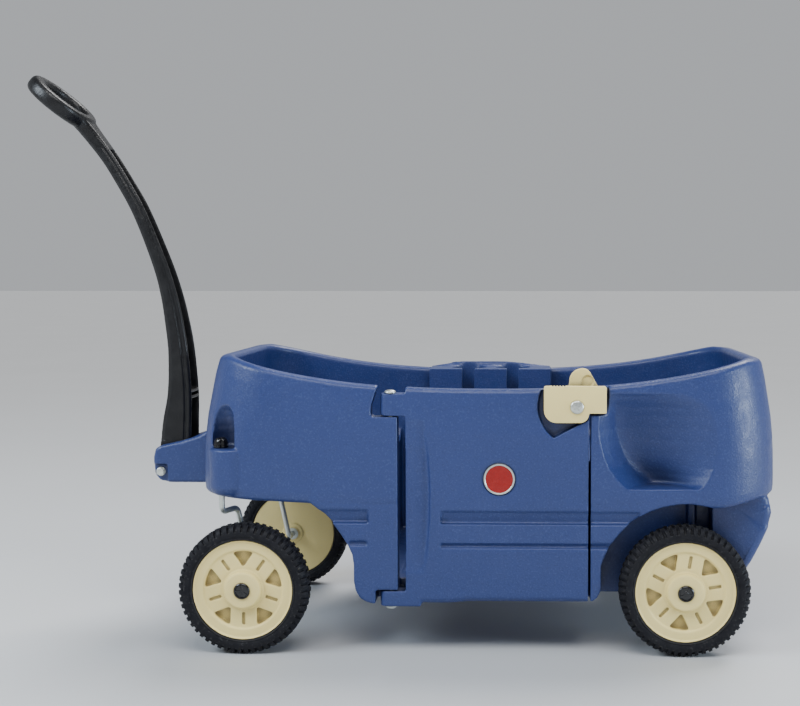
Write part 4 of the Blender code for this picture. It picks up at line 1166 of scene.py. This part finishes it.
def make_kingpin_cap(word, side):
    """Domed push nut with pinched flutes round its skirt."""
    profile = [(ON_ROD_R, 0.0), (0.0112, 0.0), (0.0117, 0.0006), (0.0117, 0.003), (0.011, 0.004),
               (0.011, 0.0075), (0.0104, 0.0105), (0.009, 0.0133), (0.0068, 0.0154), (0.0038, 0.0166),
               (0.0006, 0.017), (0.0006, 0.0148), (ON_ROD_R, 0.014)]
    rings = []
    for t in full_turn(72):
        pinch = 0.2 * max(0.0, math.cos(5 * t)) ** 2
        ring = []
        for r, up in profile:
            r *= 1 - pinch * (0.008 < r) * min(1.0, (0.018 - up) / 0.006)
            ring.append((KINGPIN.x + r * math.cos(t), side * KINGPIN.y + r * math.sin(t),
                         KINGPIN_LEDGE_Z + GAP + up))
        rings.append(ring)
    cap = loft("cap", rings, closed=False)
    finished(cap, f"swivel_cap_{word}", f"front_swivel_{word}", f"kingpin_cap_{word}", GLOSS, 40)


def make_rear_axle():
    end = WHEEL_Y + STUB
    path = [Vector((REAR_AXLE_X, y, WHEEL_R)) for y in (-end, 0.0, end)]
    finished(tube("axle", path, ROD_R), "rear_axle_rod", "tub", "rear_axle", STEEL, 50)


# -------------------- floor, light and camera
def make_floor():
    bm = bmesh.new()
    bmesh.ops.create_grid(bm, x_segments=1, y_segments=1, size=40.0)
    floor = from_bmesh("floor", bm)
    paint = Finish("floor_paint", (0.55, 0.56, 0.57), 0.75, specular=0.2)
    paint.tint(paint.between(paint.noise(1.5, 3.0), 0.3, 0.7, 0.0, 0.4), (0.52, 0.53, 0.54))
    floor.data.materials.append(paint.done())


def make_light(name, place, target, width, height, power, colour=(1.0, 1.0, 1.0)):
    data = bpy.data.lights.new(name, "AREA")
    data.shape = "RECTANGLE"
    data.size, data.size_y = width, height
    data.energy = power
    data.color = colour
    light = linked(name, data)
    light.location = place
    light.rotation_euler = (Vector(target) - Vector(place)).to_track_quat("-Z", "Y").to_euler()


def make_lights():
    """A broad sun from behind, low soft lights round the sides, and a pale band at the horizon."""
    data = bpy.data.lights.new("sun", "SUN")
    data.energy = 3.4
    data.angle = math.radians(35)
    sun = linked("sun", data)
    sun.rotation_euler = Vector((0.42, 0.62, 1.0)).to_track_quat("Z", "Y").to_euler()
    middle = (0.15, 0.0, 0.3)
    make_light("front_high", (0.35, -1.8, 3.0), middle, 2.4, 1.2, 65)
    make_light("right_low", (3.0, -0.95, 0.6), middle, 1.2, 0.9, 52, (0.72, 0.86, 1.0))
    make_light("left_high", (-2.2, -1.3, 2.1), middle, 1.6, 1.2, 76, (0.8, 0.9, 1.0))
    make_light("front_low", (0.3, -3.3, 0.22), middle, 3.6, 0.35, 3)
    world = bpy.data.worlds.new("studio")
    world.use_nodes = True
    nodes, links = world.node_tree.nodes, world.node_tree.links
    height = nodes.new("ShaderNodeSeparateXYZ")
    links.new(nodes.new("ShaderNodeTexCoord").outputs["Generated"], height.inputs["Vector"])
    band = nodes.new("ShaderNodeMapRange")
    band.interpolation_type = "SMOOTHSTEP"
    for name, number in (("From Min", 0.2), ("From Max", 0.5), ("To Min", 0.5), ("To Max", 0.14)):
        band.inputs[name].default_value = number
    links.new(height.outputs["Z"], band.inputs["Value"])
    sky = nodes["Background"]
    sky.inputs["Color"].default_value = (0.9, 0.93, 0.97, 1.0)
    links.new(band.outputs["Result"], sky.inputs["Strength"])
    bpy.context.scene.world = world


def make_camera():
    data = bpy.data.cameras.new("camera")
    data.sensor_width = 36.0
    data.lens = 56.3
    data.shift_x = -0.1155
    camera = linked("camera", data)
    camera.location = (0.2226, -2.1962, 0.6085)
    camera.rotation_euler = (math.radians(90 - 3.6608), 0.0, math.radians(1.4108))
    bpy.context.scene.camera = camera


# -------------------- build
make_camera()
make_tub()
make_door()
make_hinge_pins()
make_reflector()
make_latch()
make_handle()
make_handle_bolt()
make_wheels()
make_rear_axle()
for word, side in (("right", -1), ("left", 1)):
    make_spindle(word, side)
    make_kingpin_cap(word, side)
make_floor()
make_lights()
